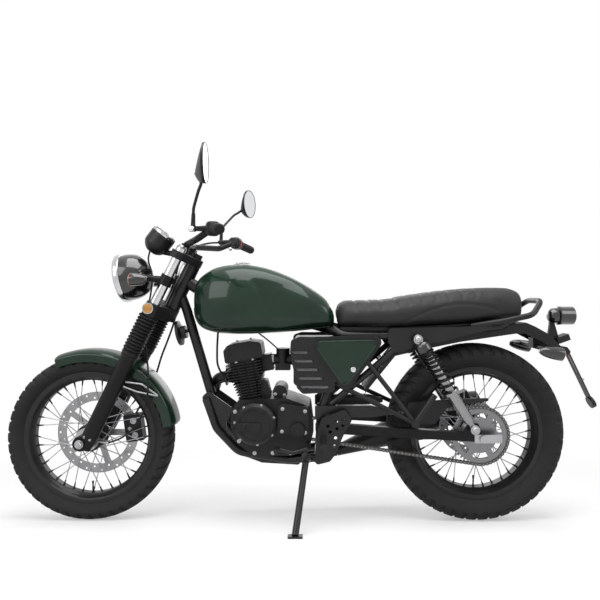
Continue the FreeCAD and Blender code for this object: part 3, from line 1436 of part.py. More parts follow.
def shell_loft(stations, length, height, half, start, base, waist_share, power):
    """A smooth solid through sections given as shares of its length, height and half width."""
    wires = []
    for along, low, high, wide in stations:
        wires.append(
            ring_section(
                start + length * along, half * wide, base + height * low, base + height * high, waist_share, power
            )
        )
    return Part.makeLoft(wires, True, False)


def fuel_tank():
    shell = shell_loft(
        TANK_STATION_SHARES, TANK_REAR - TANK_FRONT, TANK_TOP - TANK_BASE, TANK_HALF_WIDTH,
        TANK_FRONT, TANK_BASE, TANK_WAIST_SHARE, TANK_POWER_SHARE,
    )
    tunnel = block(
        TANK_FRONT - OVERRUN, TANK_REAR + OVERRUN, -TUNNEL_HALF_WIDTH, TUNNEL_HALF_WIDTH,
        TANK_BASE - OVERRUN, TUNNEL_TOP,
    )
    return cut(shell, tunnel)


def fuel_cap(tank):
    r = CAP_RADIUS
    cap = turned(
        [(0, 0), (0, r * 1.15), (CAP_HEIGHT * 0.5, r * 1.15), (CAP_HEIGHT * 0.6, r), (CAP_HEIGHT, r * 0.92), (CAP_HEIGHT, 0)],
        Vector(CAP_X, 0, CAP_Z),
        Z_AXIS,
    )
    return cut(cap, tank)


def seat():
    cushion = shell_loft(
        SEAT_STATION_SHARES, SEAT_REAR - SEAT_FRONT, SEAT_TOP - SEAT_BASE, SEAT_HALF_WIDTH,
        SEAT_FRONT, SEAT_BASE, SEAT_WAIST_SHARE, SEAT_POWER_SHARE,
    )
    return cushion


def seat_base():
    """The moulded tray under the cushion, on the seat rails."""
    upper = [(x, z) for x, z in SEAT_TRAY_LINE]
    lower = [(x, z - SEAT_TRAY_WALL) for x, z in reversed(SEAT_TRAY_LINE)]
    return plate_xz(upper + lower, -SEAT_TRAY_HALF_WIDTH, SEAT_TRAY_HALF_WIDTH)


def side_panels():
    outline = SIDE_PANEL_OUTLINE
    panel = plate_xz(outline, SIDE_PANEL_Y - SIDE_PANEL_WALL, SIDE_PANEL_Y, SIDE_PANEL_CORNER)
    return pair(panel)


def side_covers():
    """The slotted covers ahead of the side panels and the trim round them."""
    y0, y1 = SIDE_COVER_Y - SIDE_COVER_WALL, SIDE_COVER_Y
    cover = plate_xz(SIDE_COVER_OUTLINE, y0, y1, SIDE_COVER_CORNER)
    trim = plate_xz(SIDE_TRIM_OUTLINE, y0, y1, SIDE_PANEL_CORNER)
    body = fuse(cover, trim)
    slots = []
    for i in range(SLOT_ROWS):
        z = SLOT_TOP_Z - i * SLOT_PITCH
        start, end = SLOT_X0 + i * SLOT_X0_STEP, SLOT_X1 + i * SLOT_X1_STEP
        slots.append(block(start, end, y1 - SLOT_DEPTH, y1 + OVERRUN, z - SLOT_HEIGHT / 2, z + SLOT_HEIGHT / 2))
    return pair(cut(body, slots))


def airbox():
    return plate_xz(AIRBOX_OUTLINE, -AIRBOX_HALF_WIDTH, AIRBOX_HALF_WIDTH, SIDE_COVER_CORNER)


def carburettor():
    x, z, r = CARB_X, CARB_Z, CARB_RADIUS
    throat = rod(Vector(CARB_FRONT_X, 0, z), Vector(AIRBOX_OUTLINE[0][0], 0, z), r * 0.8)
    body = rod(Vector(x, 0, z - CARB_DROP), Vector(x, 0, z + CARB_RISE), r)
    bowl = block(x - r * 1.1, x + r * 1.1, -r, r, z - CARB_DROP, z - CARB_DROP / 3)
    return fuse(throat, body, bowl)


def exhaust():
    """The header pipe from the front of the head down the right side, and the silencer."""
    pipe = bent_tube([Vector(*p) for p in HEADER_ROUTE], HEADER_BEND, HEADER_RADIUS)
    start, end = Vector(*HEADER_ROUTE[-1]), Vector(*SILENCER_END)
    along = end.sub(start)
    length, r = along.Length, SILENCER_RADIUS
    can = turned(
        [
            (0, 0),
            (0, HEADER_RADIUS),
            (length * 0.04, HEADER_RADIUS * 1.15),
            (length * 0.34, r * 0.96),
            (length * 0.37, r),
            (length * 0.95, r),
            (length, r * 0.86),
            (length, r * 0.4),
            (length * 0.93, r * 0.36),
            (length * 0.93, 0),
        ],
        start,
        along,
    )
    flange = rod(Vector(*HEADER_ROUTE[0]), Vector(*HEADER_ROUTE[0]).add(Vector(-FRAME_PLATE_WALL, 0, 0)), HEADER_RADIUS * 1.6)
    hanger = block(HANGER_X - TUBE_RADIUS, HANGER_X + TUBE_RADIUS, SWINGARM_Y + SWINGARM_HALF_WIDTH + 2 * FIT_GAP, SILENCER_END[1], HANGER_Z, HANGER_Z + TUBE_RADIUS * 2)
    return fuse(pipe, can, flange, hanger)


def rear_mudguard():
    """The inner mudguard: a bent sheet under the seat with turned-down edges."""
    wall = REAR_GUARD_WALL
    half = REAR_GUARD_HALF_WIDTH
    top = [(x, z) for x, z, depth in REAR_GUARD_LINE]
    under = [(x, z - wall) for x, z in reversed(top)]
    low = [(x, z - depth) for x, z, depth in reversed(REAR_GUARD_LINE)]
    skirt = plate_xz(top + low, half - wall, half)
    return fuse(plate_xz(top + under, -half, half), pair(skirt))


def tail_bracket():
    """The carrier of the tail lamp, the indicators, the plate lamp and the slotted number-plate strip."""
    carrier = plate_xz(TAIL_OUTLINE, -TAIL_HALF_WIDTH, TAIL_HALF_WIDTH, CRADLE_CORNER / 2)
    stem = plate_xz(TAIL_STEM_OUTLINE, -TAIL_STEM_HALF_WIDTH, TAIL_STEM_HALF_WIDTH, CRADLE_CORNER / 3)
    bars = lateral(TAIL_BAR_X, TAIL_BAR_Z, -TAIL_BAR_END_Y, TAIL_BAR_END_Y, INDICATOR_STEM_RADIUS)
    lamp = block(
        0, PLATE_LAMP_LENGTH, -PLATE_LAMP_HALF_WIDTH, PLATE_LAMP_HALF_WIDTH, 0, PLATE_LAMP_HEIGHT
    )
    lamp.rotate(ORIGIN, Y_AXIS, -PLATE_LAMP_TILT)
    lamp.translate(Vector(PLATE_LAMP_X, 0, PLATE_LAMP_Z))
    top, foot = Vector(CARRIER_TOP[0], 0, CARRIER_TOP[1]), Vector(CARRIER_FOOT[0], 0, CARRIER_FOOT[1])
    along = foot.sub(top)
    strip = Part.makeBox(CARRIER_WALL, 2 * CARRIER_HALF_WIDTH, along.Length, Vector(0, -CARRIER_HALF_WIDTH, 0))
    slot = Part.makeBox(
        OVERRUN * 2, 2 * CARRIER_SLOT_HALF_WIDTH, CARRIER_SLOT_END - CARRIER_SLOT_START,
        Vector(-OVERRUN, -CARRIER_SLOT_HALF_WIDTH, CARRIER_SLOT_START),
    )
    strip = cut(strip, slot)
    strip.Placement = Placement(top, Rotation(Z_AXIS, along))
    face = Rotation(Z_AXIS, along).multVec(X_AXIS)
    centre = Vector(*REFLECTOR_AT)
    reach = Vector(face).multiply(REFLECTOR_WALL)
    holder = rod(centre.sub(reach), centre.add(reach), REFLECTOR_RADIUS)
    return fuse(carrier, stem, bars, lamp, strip, holder)


def tail_light():
    """A bucket behind a thicker ring and a plain barrel, ending in the lens."""
    x, r, d = TAIL_LAMP_X, TAIL_LAMP_RADIUS, TAIL_LAMP_LENGTH
    return turned(
        [
            (0, 0),
            (0, r * 0.88),
            (d * 0.07, r * 0.97),
            (d * 0.5, r * 0.97),
            (d * 0.52, r),
            (d * 0.62, r),
            (d * 0.65, r * 0.8),
            (d * 0.92, r * 0.72),
            (d, r * 0.5),
            (d, 0),
        ],
        Vector(x, 0, TAIL_LAMP_Z),
        Vector(-1, 0, 0),
    )


def indicator(place, direction, length):
    """A bullet-shaped lamp whose flat lens faces along the direction."""
    r = INDICATOR_RADIUS
    return turned(
        [(0, 0), (0, r * 0.88), (-length * 0.08, r), (-length * 0.35, r), (-length * 0.8, r * 0.6), (-length, r * 0.2), (-length, 0)],
        place,
        direction,
    )


def rear_indicators(bracket):
    tilt = math.radians(REAR_INDICATOR_TILT)
    lamp = indicator(
        Vector(REAR_INDICATOR_X, REAR_INDICATOR_Y, REAR_INDICATOR_Z),
        Vector(math.cos(tilt), 0, -math.sin(tilt)),
        INDICATOR_LENGTH,
    )
    return [cut(s, bracket) for s in pair(lamp)]


def front_indicators(brackets):
    lamp = indicator(
        Vector(FRONT_INDICATOR_X, FRONT_INDICATOR_Y, FRONT_INDICATOR_Z), Vector(-1, 0, 0), FRONT_INDICATOR_LENGTH
    )
    return [cut(s, brackets) for s in pair(lamp)]


def lamp_brackets(tubes, lamp):
    """Ears on the fork tubes for the headlight, with the stems of the indicators and the side reflectors."""
    w = LAMP_CLAMP_PLACE
    clamp = Part.makeCylinder(FORK_TUBE_RADIUS + FRAME_PLATE_WALL, LAMP_CLAMP_HEIGHT, Vector(AXLE_LEAD, HALF_LEGS, w))
    ear_start = at_fork(AXLE_LEAD, HALF_LEGS, w + LAMP_CLAMP_HEIGHT / 2)
    ear_end = Vector(EAR_END_X, EAR_END_Y, EAR_END_Z)
    ear = rod(ear_start, ear_end, TUBE_RADIUS * 0.8)
    stem = rod(
        Vector(FRONT_STEM_X, EAR_END_Y, FRONT_INDICATOR_Z), Vector(FRONT_STEM_X, FRONT_INDICATOR_Y, FRONT_INDICATOR_Z), INDICATOR_STEM_RADIUS
    )
    bowl_bolt = lateral(EAR_END_X, EAR_END_Z, BOLT_INNER_Y, EAR_END_Y + TUBE_RADIUS * 0.5, TUBE_RADIUS * 0.8)
    out = []
    for s in pair(fuse(on_fork(clamp), ear, stem, bowl_bolt)):
        out.append(cut(s, tubes, lamp))
    return out


def grab_rail():
    return bent_tube([Vector(*p) for p in GRAB_ROUTE], GRAB_BEND, GRAB_RADIUS)


def chain_guard():
    return plate_xz(CHAIN_GUARD_OUTLINE, -CHAIN_GUARD_Y - GUARD_WALL * 2, -CHAIN_GUARD_Y, CRADLE_CORNER / 2)


def footrests():
    """Perforated hanger plates with the rider's pegs, and the passenger's pegs on their struts."""
    plate = plate_xz(PEG_PLATE_OUTLINE, PEG_PLATE_Y, PEG_PLATE_Y + PEG_PLATE_WALL, CRADLE_CORNER)
    holes = [lateral(x, z, 0, PEG_PLATE_Y * 2, PEG_HOLE_RADIUS) for x, z in PEG_PLATE_HOLES]
    plate = cut(plate, holes)
    peg = rod(Vector(PEG_X, PEG_PLATE_Y, PEG_Z), Vector(PEG_X, PEG_END_Y, PEG_Z), PEG_RADIUS)
    mounts = [
        lateral(x, z, PIVOT_PLATE_Y + FRAME_PLATE_WALL, PEG_PLATE_Y, TUBE_RADIUS * 0.7) for x, z in PEG_PLATE_MOUNTS
    ]
    joint = Vector(*STRUT_JOINT)
    struts = [rod(Vector(*STRUT_UPPER), joint, STRUT_RADIUS), rod(Vector(*STRUT_LOWER), joint, STRUT_RADIUS)]
    knob = lateral(joint.x, joint.z, joint.y - PEG_RADIUS, joint.y + PEG_RADIUS, PEG_RADIUS * 1.3)
    folded = rod(joint, Vector(*FOLDED_PEG_TIP), PEG_RADIUS)
    return pair(fuse(plate, peg, mounts)) + pair(fuse(struts, knob, folded))


def foot_controls():
    """Gear pedal on the left and brake pedal on the right."""
    out = []
    for side in (-1, 1):
        pivot = Vector(PEDAL_PIVOT_X, side * PEDAL_PIVOT_Y, PEDAL_PIVOT_Z)
        elbow = Vector(PEDAL_ELBOW_X, side * PEDAL_Y, PEDAL_ELBOW_Z)
        tip = Vector(PEDAL_TIP_X, side * PEDAL_Y, PEDAL_TIP_Z)
        arm = bent_tube([Vector(pivot.x, side * CASE_HALF_WIDTH, pivot.z), pivot, elbow, tip], PEDAL_RADIUS * 3, PEDAL_RADIUS)
        pad = rod(Vector(tip.x, side * (PEDAL_Y - PEDAL_RADIUS * 0.6), tip.z), Vector(tip.x, side * (PEDAL_Y + PEDAL_PAD), tip.z), PEDAL_RADIUS * 1.5)
        out.append(fuse(arm, pad))
    return out


def horn():
    place = Vector(HORN_X, HORN_Y, HORN_Z)
    r, d = HORN_RADIUS, HORN_DEPTH
    face = Vector(-math.cos(math.radians(HORN_TILT)), 0, -math.sin(math.radians(HORN_TILT)))
    dish = turned([(0, 0), (0, r), (d * 0.3, r), (d * 0.5, r * 0.55), (d, r * 0.5), (d, 0)], place, Vector(face).multiply(-1))
    bracket = rod(place.sub(Vector(face).multiply(d * 0.6)), Vector(*HORN_MOUNT), PEDAL_RADIUS)
    return fuse(dish, bracket)


def caliper(centre, place, angle, radius, width):
    """A brake caliper that straddles a disc, seen from the axle at an angle from the rear upward."""
    turn = math.radians(angle)
    out = Vector(math.cos(turn), 0, math.sin(turn))
    body = Part.makeBox(CALIPER_DEPTH, width, CALIPER_LENGTH, Vector(radius - CALIPER_DEPTH * 0.7, place - width / 2, -CALIPER_LENGTH / 2))
    body.rotate(ORIGIN, Y_AXIS, -angle)
    body.translate(centre)
    gap = DISC_WALL / 2 + CALIPER_GAP
    slot = revolve_y(
        [(0, place - gap), (radius + CALIPER_GAP, place - gap), (radius + CALIPER_GAP, place + gap), (0, place + gap)], centre
    )
    return cut(body, slot), slot, out


def front_caliper(lowers):
    """The caliper behind the right leg with the lug that carries it."""
    body, slot, out = caliper(FRONT_AXLE, FRONT_DISC_PLACE, FRONT_CALIPER_ANGLE, FRONT_DISC_RADIUS, FRONT_CALIPER_WIDTH)
    reach = FRONT_DISC_PLACE + FRONT_CALIPER_WIDTH / 2
    middle = FRONT_AXLE.add(Vector(out).multiply(FRONT_DISC_RADIUS))
    outer = Vector(middle.x, reach - PEDAL_RADIUS, middle.z)
    leg = at_fork(AXLE_LEAD, HALF_LEGS, FRONT_DISC_RADIUS * 0.75)
    lug = rod(leg, outer, TUBE_RADIUS)
    return cut(fuse(body, lug), slot, lowers)


def rear_caliper(arm):
    body, _, out = caliper(REAR_AXLE, REAR_DISC_PLACE, REAR_CALIPER_ANGLE, REAR_DISC_RADIUS, REAR_CALIPER_WIDTH)
    reach = REAR_DISC_PLACE + REAR_CALIPER_WIDTH / 2
    middle = REAR_AXLE.add(Vector(out).multiply(REAR_DISC_RADIUS))
    foot = Vector(middle.x, SWINGARM_Y, SWINGARM_CALIPER_Z)
    lug = rod(foot, Vector(middle.x, reach - PEDAL_RADIUS, middle.z), PEDAL_RADIUS * 1.4)
    return cut(fuse(body, lug), arm)


# Cables and hoses

def round_run(edge, radius):
    """A round bar along one straight edge or round one arc."""
    start, finish = edge.valueAt(edge.FirstParameter), edge.valueAt(edge.LastParameter)
    if isinstance(edge.Curve, Part.Line):
        return rod(start, finish, radius)
    disc = Part.Face(Part.Wire([Part.makeCircle(radius, start, edge.tangentAt(edge.FirstParameter))]))
    return disc.revolve(edge.Curve.Center, edge.Curve.Axis, math.degrees(edge.LastParameter - edge.FirstParameter))


def cable(name, points, radius):
    """A held cable: straight runs joined by tangent arcs, made whole along one path."""
    corners = [Vector(*p) for p in points]
    radii = []
    for before, corner, behind in zip(corners, corners[1:], corners[2:]):
        a, b = before.sub(corner), behind.sub(corner)
        radii.append(CABLE_RUN_SHARE * min(a.Length, b.Length) * math.tan(a.getAngle(b) / 2))
    path = pipe_path(corners, radii)
    body = fuse([round_run(edge, radius) for edge in path.Edges])
    section = math.pi * radius**2 * path.Length
    print(name, "length", round(path.Length, 1), "bend radii", [round(r) for r in radii])
    print(name, "volume", round(body.Volume), "section times length", round(section))
    return body


def fork_cables():
    """The speedometer cable and the front brake's hose, held along the fork."""
    speedo = cable("speedometer cable", SPEEDO_CABLE, SPEEDO_CABLE_RADIUS)
    hose = cable("brake hose", BRAKE_HOSE, BRAKE_HOSE_RADIUS)
    return [speedo, hose]


def engine_leads():
    """The plug lead with its cap, and the throttle cable."""
    lead = cable("plug lead", PLUG_LEAD, PLUG_LEAD_RADIUS)
    cap = rod(Vector(*PLUG_LEAD[0]), Vector(*PLUG_LEAD[1]), PLUG_CAP_RADIUS)
    throttle = cable("throttle cable", THROTTLE_CABLE, THROTTLE_CABLE_RADIUS)
    return [fuse(lead, cap), throttle]


# Side stand

def stand_pivot():
    return Vector(STAND_PIVOT_X, STAND_PIVOT_Y, STAND_PIVOT_Z)


def stand_foot():
    """The foot's centre, on the floor that the leaned machine stands on."""
    z = floor_height(STAND_FOOT_Y) + STAND_FOOT_WALL
    return Vector(STAND_FOOT_X, STAND_FOOT_Y, z)


def floor_height(y):
    """How high the floor lies at this Y, in the upright machine's frame."""
    lean = math.radians(LEAN)
    return tyre_drop() / math.cos(lean) - y * math.tan(lean)


def tyre_drop():
    """The lowest point of the leaned tyres, as a height in the leaned frame."""
    lean = math.radians(LEAN)
    drops = []
    for radius, width, rim_width in (
        (FRONT_TYRE_RADIUS, FRONT_TYRE_WIDTH, FRONT_RIM_WIDTH),
        (REAR_TYRE_RADIUS, REAR_TYRE_WIDTH, REAR_RIM_WIDTH),
    ):
        for r, y in tyre_points(radius, width, rim_width):
            drops.append((radius - r) * math.cos(lean) - y * math.sin(lean))
    return min(drops)


def side_stand():
    """A round leg on a forked pivot, with a flat foot."""
    pivot, foot = stand_pivot(), stand_foot()
    axis = stand_axis()
    leg = rod(pivot, foot, STAND_RADIUS)
    a = Vector(axis).multiply(STAND_EYE_WALL / 2)
    eye = rod(pivot.sub(a), pivot.add(a), STAND_RADIUS * 1.4)
    bore = rod(pivot.sub(Vector(axis).multiply(OVERRUN)), pivot.add(Vector(axis).multiply(OVERRUN)), STAND_PIN_RADIUS + RUNNING_GAP)
    lean = math.radians(LEAN)
    pad = Part.makeBox(STAND_PAD_LENGTH, STAND_PAD_WIDTH, STAND_FOOT_WALL, Vector(-STAND_PAD_LENGTH / 2, -STAND_PAD_WIDTH / 2, -STAND_FOOT_WALL))
    pad.rotate(ORIGIN, X_AXIS, -LEAN)
    pad.translate(foot)
    below = Part.makeBox(OVERRUN * 4, OVERRUN * 4, OVERRUN, Vector(-OVERRUN * 2, -OVERRUN * 2, -OVERRUN - STAND_FOOT_WALL))
    below.rotate(ORIGIN, X_AXIS, -LEAN)
    below.translate(foot)
    return cut(fuse(leg, eye, pad), bore, below)


def stand_axis():
    """The hinge line: square to the leg, and tipped up so that the folded leg lies level."""
    leg = stand_foot().sub(stand_pivot()).normalize()
    return leg.cross(X_AXIS).normalize()


def stand_bracket():
    """The fork-shaped bracket on the frame, with the pivot pin."""
    axis, pivot = stand_axis(), stand_pivot()
    gap = STAND_EYE_WALL / 2 + FIT_GAP
    cheeks = []
    for side in (-1, 1):
        a = pivot.add(Vector(axis).multiply(side * gap))
        b = a.add(Vector(axis).multiply(side * STAND_CHEEK_WALL))
        cheeks.append(rod(a, b, STAND_RADIUS * 1.3))
    reach = Vector(axis).multiply(gap + STAND_CHEEK_WALL)
    pin = rod(pivot.sub(reach), pivot.add(reach), STAND_PIN_RADIUS)
    inner = pivot.sub(reach)
    outer = pivot.add(reach)
    return cheeks, pin, inner, outer


# Assembly

def near(a, b):
    return a.BoundBox.intersect(b.BoundBox)


def flat(node):
    return node if isinstance(node, list) else [node]


def seated(nodes, order):
    """Takes from each node the space of the nodes before it, so that they meet face to face."""
    done = {}
    for name in order:
        shapes = []
        for shape in flat(nodes[name]):
            others = [o for other in done.values() for o in other if near(shape, o)]
            left = shape.cut(others) if others else shape
            least = left.Volume * SLIVER_SHARE
            shapes.extend(s for s in left.Solids if s.Volume > least)
        done[name] = shapes
    return done


def build_chassis():
    frame_body = frame()
    cheeks, pin, inner, outer = stand_bracket()
    arm = rod(inner, Vector(STAND_PIVOT_X, -CRADLE_Y, STAND_PIVOT_Z - TUBE_RADIUS), STAND_RADIUS)
    arm = cut(arm, side_stand_space())
    frame_body = fuse(frame_body, cheeks, pin, arm)
    tank = fuel_tank()
    bracket = tail_bracket()
    nodes = {
        "frame": frame_body,
        "crankcase": crankcase(),
        "cylinder": cylinder(),
        "carburettor": carburettor(),
        "exhaust": exhaust(),
        "fuel_tank": tank,
        "fuel_cap": fuel_cap(tank),
        "seat": seat(),
        "seat_base": seat_base(),
        "airbox": airbox(),
        "side_covers": side_covers(),
        "side_panels": side_panels(),
        "rear_mudguard": rear_mudguard(),
        "tail_bracket": bracket,
        "tail_light": tail_light(),
        "rear_indicators": rear_indicators(bracket),
        "grab_rail": grab_rail(),
        "shocks": shocks(),
        "swingarm": swingarm(),
        "rear_axle": rear_axle(),
        "chain": chain(),
        "chain_guard": chain_guard(),
        "footrests": footrests() + foot_controls(),
        "rear_caliper": rear_caliper(swingarm()),
        "horn": horn(),
        "engine_leads": engine_leads(),
    }
    return seated(nodes, CHASSIS_ORDER)


def side_stand_space():
    axis, pivot = stand_axis(), stand_pivot()
    a = Vector(axis).multiply(STAND_EYE_WALL / 2 + FIT_GAP)
    return rod(pivot.sub(a), pivot.add(a), STAND_RADIUS * 2)


def build_fork():
    tubes = fork_tubes()
    lowers = fork_lowers()
    bar = handlebar()
    bowl, lens = headlight()
    brackets = lamp_brackets(tubes, bowl)
    nodes = {
        "yokes": yokes(),
        "fork_tubes": tubes,
        "fork_gaiters": gaiters(),
        "fork_lowers": lowers,
        "front_axle": front_axle(),
        "front_mudguard": front_mudguard(lowers),
        "headlight": bowl,
        "headlight_lens": lens,
        "lamp_brackets": brackets + [instrument_bracket()],
        "front_indicators": front_indicators(brackets) + side_reflectors(),
        "instrument": instrument(),
        "handlebar": bar,
        "hand_controls": controls(bar),
        "mirrors": mirrors(),
        "front_caliper": front_caliper(lowers),
        "fork_cables": fork_cables(),
    }
    return seated(nodes, FORK_ORDER)


def side_reflectors():
    at = Vector(REFLECTOR_X, REFLECTOR_Y, REFLECTOR_Z)
    return pair(rod(at, at.add(Vector(0, REFLECTOR_WALL, 0)), REFLECTOR_RADIUS * 0.9))


def instrument_bracket():
    base = at_fork(STEER_OFFSET, 0, UPPER_YOKE_BASE + UPPER_YOKE_WALL)
    tilt = math.radians(INSTRUMENT_TILT)
    back = Vector(INSTRUMENT_X, 0, INSTRUMENT_Z).sub(
        Vector(math.sin(tilt), 0, math.cos(tilt)).multiply(INSTRUMENT_DEPTH * 0.9)
    )
    return rod(base, back, TUBE_RADIUS * 0.7)


def build_wheels():
    nodes = {}
    for name, axle, radius, width, rim_width, hub_width, disc_place, disc_radius in (
        ("front", FRONT_AXLE, FRONT_TYRE_RADIUS, FRONT_TYRE_WIDTH, FRONT_RIM_WIDTH, FRONT_HUB_WIDTH,
         FRONT_DISC_PLACE, FRONT_DISC_RADIUS),
        ("rear", REAR_AXLE, REAR_TYRE_RADIUS, REAR_TYRE_WIDTH, REAR_RIM_WIDTH, REAR_HUB_WIDTH,
         REAR_DISC_PLACE, REAR_DISC_RADIUS),
    ):
        nodes[name + "_tyre"] = [tyre(axle, radius, width, rim_width)]
        nodes[name + "_wheel"] = [laced_wheel(axle, radius, width, rim_width, hub_width, disc_place)]
        nodes[name + "_disc"] = [brake_disc(axle, disc_place, disc_radius, DISC_BORE_RADIUS)]
    nodes["sprocket"] = [sprocket()]
    return nodes


def leaned(shape):
    """Leans the upright machine to its left and sets its lowest point on the floor."""
    return shape.rotated(ORIGIN, X_AXIS, LEAN).translated(Vector(0, 0, -tyre_drop()))


def main():
    os.makedirs("parts", exist_ok=True)
    nodes = {}
    nodes.update(build_chassis())
    nodes.update(build_fork())
    nodes.update(build_wheels())
    nodes["side_stand"] = [side_stand()]
    placed = {name: Part.makeCompound([leaned(s) for s in shapes]) for name, shapes in nodes.items()}
    box = Part.makeCompound(list(placed.values())).BoundBox
    shift = Vector(-box.Center.x, -box.Center.y, -box.ZMin)
    print("shift", shift, "box", box.XLength, box.YLength, box.ZLength)
    for name, compound in placed.items():
        shape = compound.translated(shift)
        if len(shape.Solids) == 1:
            shape = shape.Solids[0]
        shape.exportStep("parts/" + name + ".step")
        print(name, len(shape.Solids), round(shape.Volume / 1000), shape.isValid())


if __name__ == "__main__":
    main()
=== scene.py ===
import json
import math

import bmesh
import bpy
import numpy as np
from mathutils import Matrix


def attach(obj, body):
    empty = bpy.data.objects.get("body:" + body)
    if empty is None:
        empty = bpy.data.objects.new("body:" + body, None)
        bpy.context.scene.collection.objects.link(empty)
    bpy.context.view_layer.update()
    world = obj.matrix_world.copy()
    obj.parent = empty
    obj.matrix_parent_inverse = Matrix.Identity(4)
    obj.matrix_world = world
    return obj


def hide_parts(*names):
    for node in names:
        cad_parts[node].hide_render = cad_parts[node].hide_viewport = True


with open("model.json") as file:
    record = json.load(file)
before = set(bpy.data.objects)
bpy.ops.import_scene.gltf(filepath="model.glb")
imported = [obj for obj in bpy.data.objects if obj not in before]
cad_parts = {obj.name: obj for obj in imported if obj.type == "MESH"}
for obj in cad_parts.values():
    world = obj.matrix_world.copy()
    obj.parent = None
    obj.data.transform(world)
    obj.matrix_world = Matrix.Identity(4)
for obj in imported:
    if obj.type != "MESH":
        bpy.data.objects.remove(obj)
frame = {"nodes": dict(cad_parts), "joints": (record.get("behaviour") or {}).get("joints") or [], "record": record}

bl_info = {
    "name": "Cafe racer dressing",
    "version": (1, 0, 0),
    "blender": (4, 5, 0),
    "location": "View3D > Sidebar > Motorcycle",
    "description": "Dresses a small road motorcycle with paint, rubber, leather and its fine pieces",
    "category": "Object",
}

# The machine is drawn upright, in metres: X to the rear, Y to the rider's right, Z up, with X zero
# midway between the axles and Z zero on the floor. placed() leans it as it stands on its stand.
JOINTS = {j["name"]: j for j in frame["joints"]}
FRONT_AT = np.array(JOINTS["front_wheel_spin"]["pos_m"])
REAR_AT = np.array(JOINTS["rear_wheel_spin"]["pos_m"])
SPIN_AXIS = np.array(JOINTS["front_wheel_spin"]["axis"])
STEER_AXIS = np.array(JOINTS["steering"]["axis"])
LEAN = math.atan2(SPIN_AXIS[2], SPIN_AXIS[1])
WHEELBASE = float(REAR_AT[0] - FRONT_AT[0])
RAKE = math.asin(STEER_AXIS[0])
FRONT_RADIUS = 0.289
REAR_RADIUS = 0.309
FRONT_DISC_Y = 0.048
REAR_DISC_Y = 0.066
FRONT_HUB = np.array([-WHEELBASE / 2, 0.0, FRONT_RADIUS])
REAR_HUB = np.array([WHEELBASE / 2, 0.0, REAR_RADIUS])
TURN = np.array(
    [[1.0, 0.0, 0.0], [0.0, math.cos(LEAN), -math.sin(LEAN)], [0.0, math.sin(LEAN), math.cos(LEAN)]]
)
TAU = 2 * math.pi
LEFT, RIGHT, UP, AHEAD = (0, -1, 0), (0, 1, 0), (0, 0, 1), (-1, 0, 0)


def placed(points):
    """Upright places to the leaned machine's: a turn about X that carries the front hub to its joint."""
    return (np.asarray(points, float) - FRONT_HUB) @ TURN.T + FRONT_AT


def at_fork(u, y, w):
    """A place in the fork's frame: u square to the steering line and rearward, w up along it."""
    s, c = math.sin(RAKE), math.cos(RAKE)
    u, y, w = np.broadcast_arrays(u, y, w)
    return np.stack([FRONT_HUB[0] + u * c + w * s, y, FRONT_HUB[2] - u * s + w * c], -1)


# Meshes from arrays


def grid_faces(rows, columns, close_rows, close_columns):
    """Quads between neighbouring points of a grid, joined round where a direction closes."""
    i = np.arange(rows if close_rows else rows - 1)
    j = np.arange(columns if close_columns else columns - 1)
    i, j = (a.ravel() for a in np.meshgrid(i, j, indexing="ij"))
    k, m = (i + 1) % rows, (j + 1) % columns
    return np.stack([i * columns + j, k * columns + j, k * columns + m, i * columns + m], -1)


def joined(parts):
    """Several (vertices, faces) as one."""
    vertices, faces, base = [], [], 0
    for v, f in parts:
        vertices.append(v)
        faces.extend([i + base for i in q] for q in f)
        base += len(v)
    return np.concatenate(vertices), faces


def surface(points, close_rows=False, close_columns=False, capped=False):
    """A grid of points (rows, columns, 3) as vertices and quads, its end rows closed by faces if asked."""
    rows, columns = points.shape[:2]
    faces = grid_faces(rows, columns, close_rows, close_columns).tolist()
    if capped:
        faces.append(list(range(columns))[::-1])
        faces.append([(rows - 1) * columns + k for k in range(columns)])
    return points.reshape(-1, 3), faces


def sleeve(points):
    """A grid of rings, each closed round, with a face over both end rings."""
    return surface(points, close_columns=True, capped=True)


def unit(direction):
    """The same direction with a length of one."""
    d = np.asarray(direction, float)
    return d / np.linalg.norm(d)


def full_turn(count):
    """Equal angles once round."""
    return np.arange(count) / count * TAU


def lathe(profile, place, direction, sides=48):
    """A turned form: (distance along, radius) pairs carried round a line from a place along a direction."""
    profile = np.asarray(profile, float)
    d = unit(direction)
    a = unit(np.cross(UP if abs(d[2]) < 0.9 else (1, 0, 0), d))
    turn = full_turn(sides)
    ring = np.cos(turn)[:, None] * a + np.sin(turn)[:, None] * np.cross(d, a)
    return sleeve(np.asarray(place, float) + profile[:, 0, None, None] * d + profile[:, 1, None, None] * ring[None])


def smooth_line(points, count):
    """A Catmull-Rom curve through the points: cubic blends of each point with its neighbours."""
    p = np.asarray(points, float)
    p = np.concatenate([2 * p[:1] - p[1:2], p, 2 * p[-1:] - p[-2:-1]])
    t = np.linspace(0, len(p) - 3, count)
    k = np.minimum(t.astype(int), len(p) - 4)
    f = (t - k)[:, None]
    a, b, c, d = p[k], p[k + 1], p[k + 2], p[k + 3]
    return 0.5 * (2 * b + (c - a) * f + (2 * a - 5 * b + 4 * c - d) * f**2 + (3 * b - a - 3 * c + d) * f**3)


def tube(line, radius, sides=16, flat=1.0):
    """A round bar along a line: circles square to the line's own direction at each point."""
    line = np.asarray(line, float)
    along = np.gradient(line, axis=0)
    along /= np.linalg.norm(along, axis=1, keepdims=True)
    a = np.cross(along, np.eye(3)[int(np.argmin(np.abs(along).max(0)))])
    a /= np.linalg.norm(a, axis=1, keepdims=True)
    b = np.cross(along, a)
    turn = full_turn(sides)
    r = np.broadcast_to(radius, (len(line),))[:, None, None]
    ring = np.cos(turn)[None, :, None] * a[:, None] + flat * np.sin(turn)[None, :, None] * b[:, None]
    return sleeve(line[:, None] + r * ring)


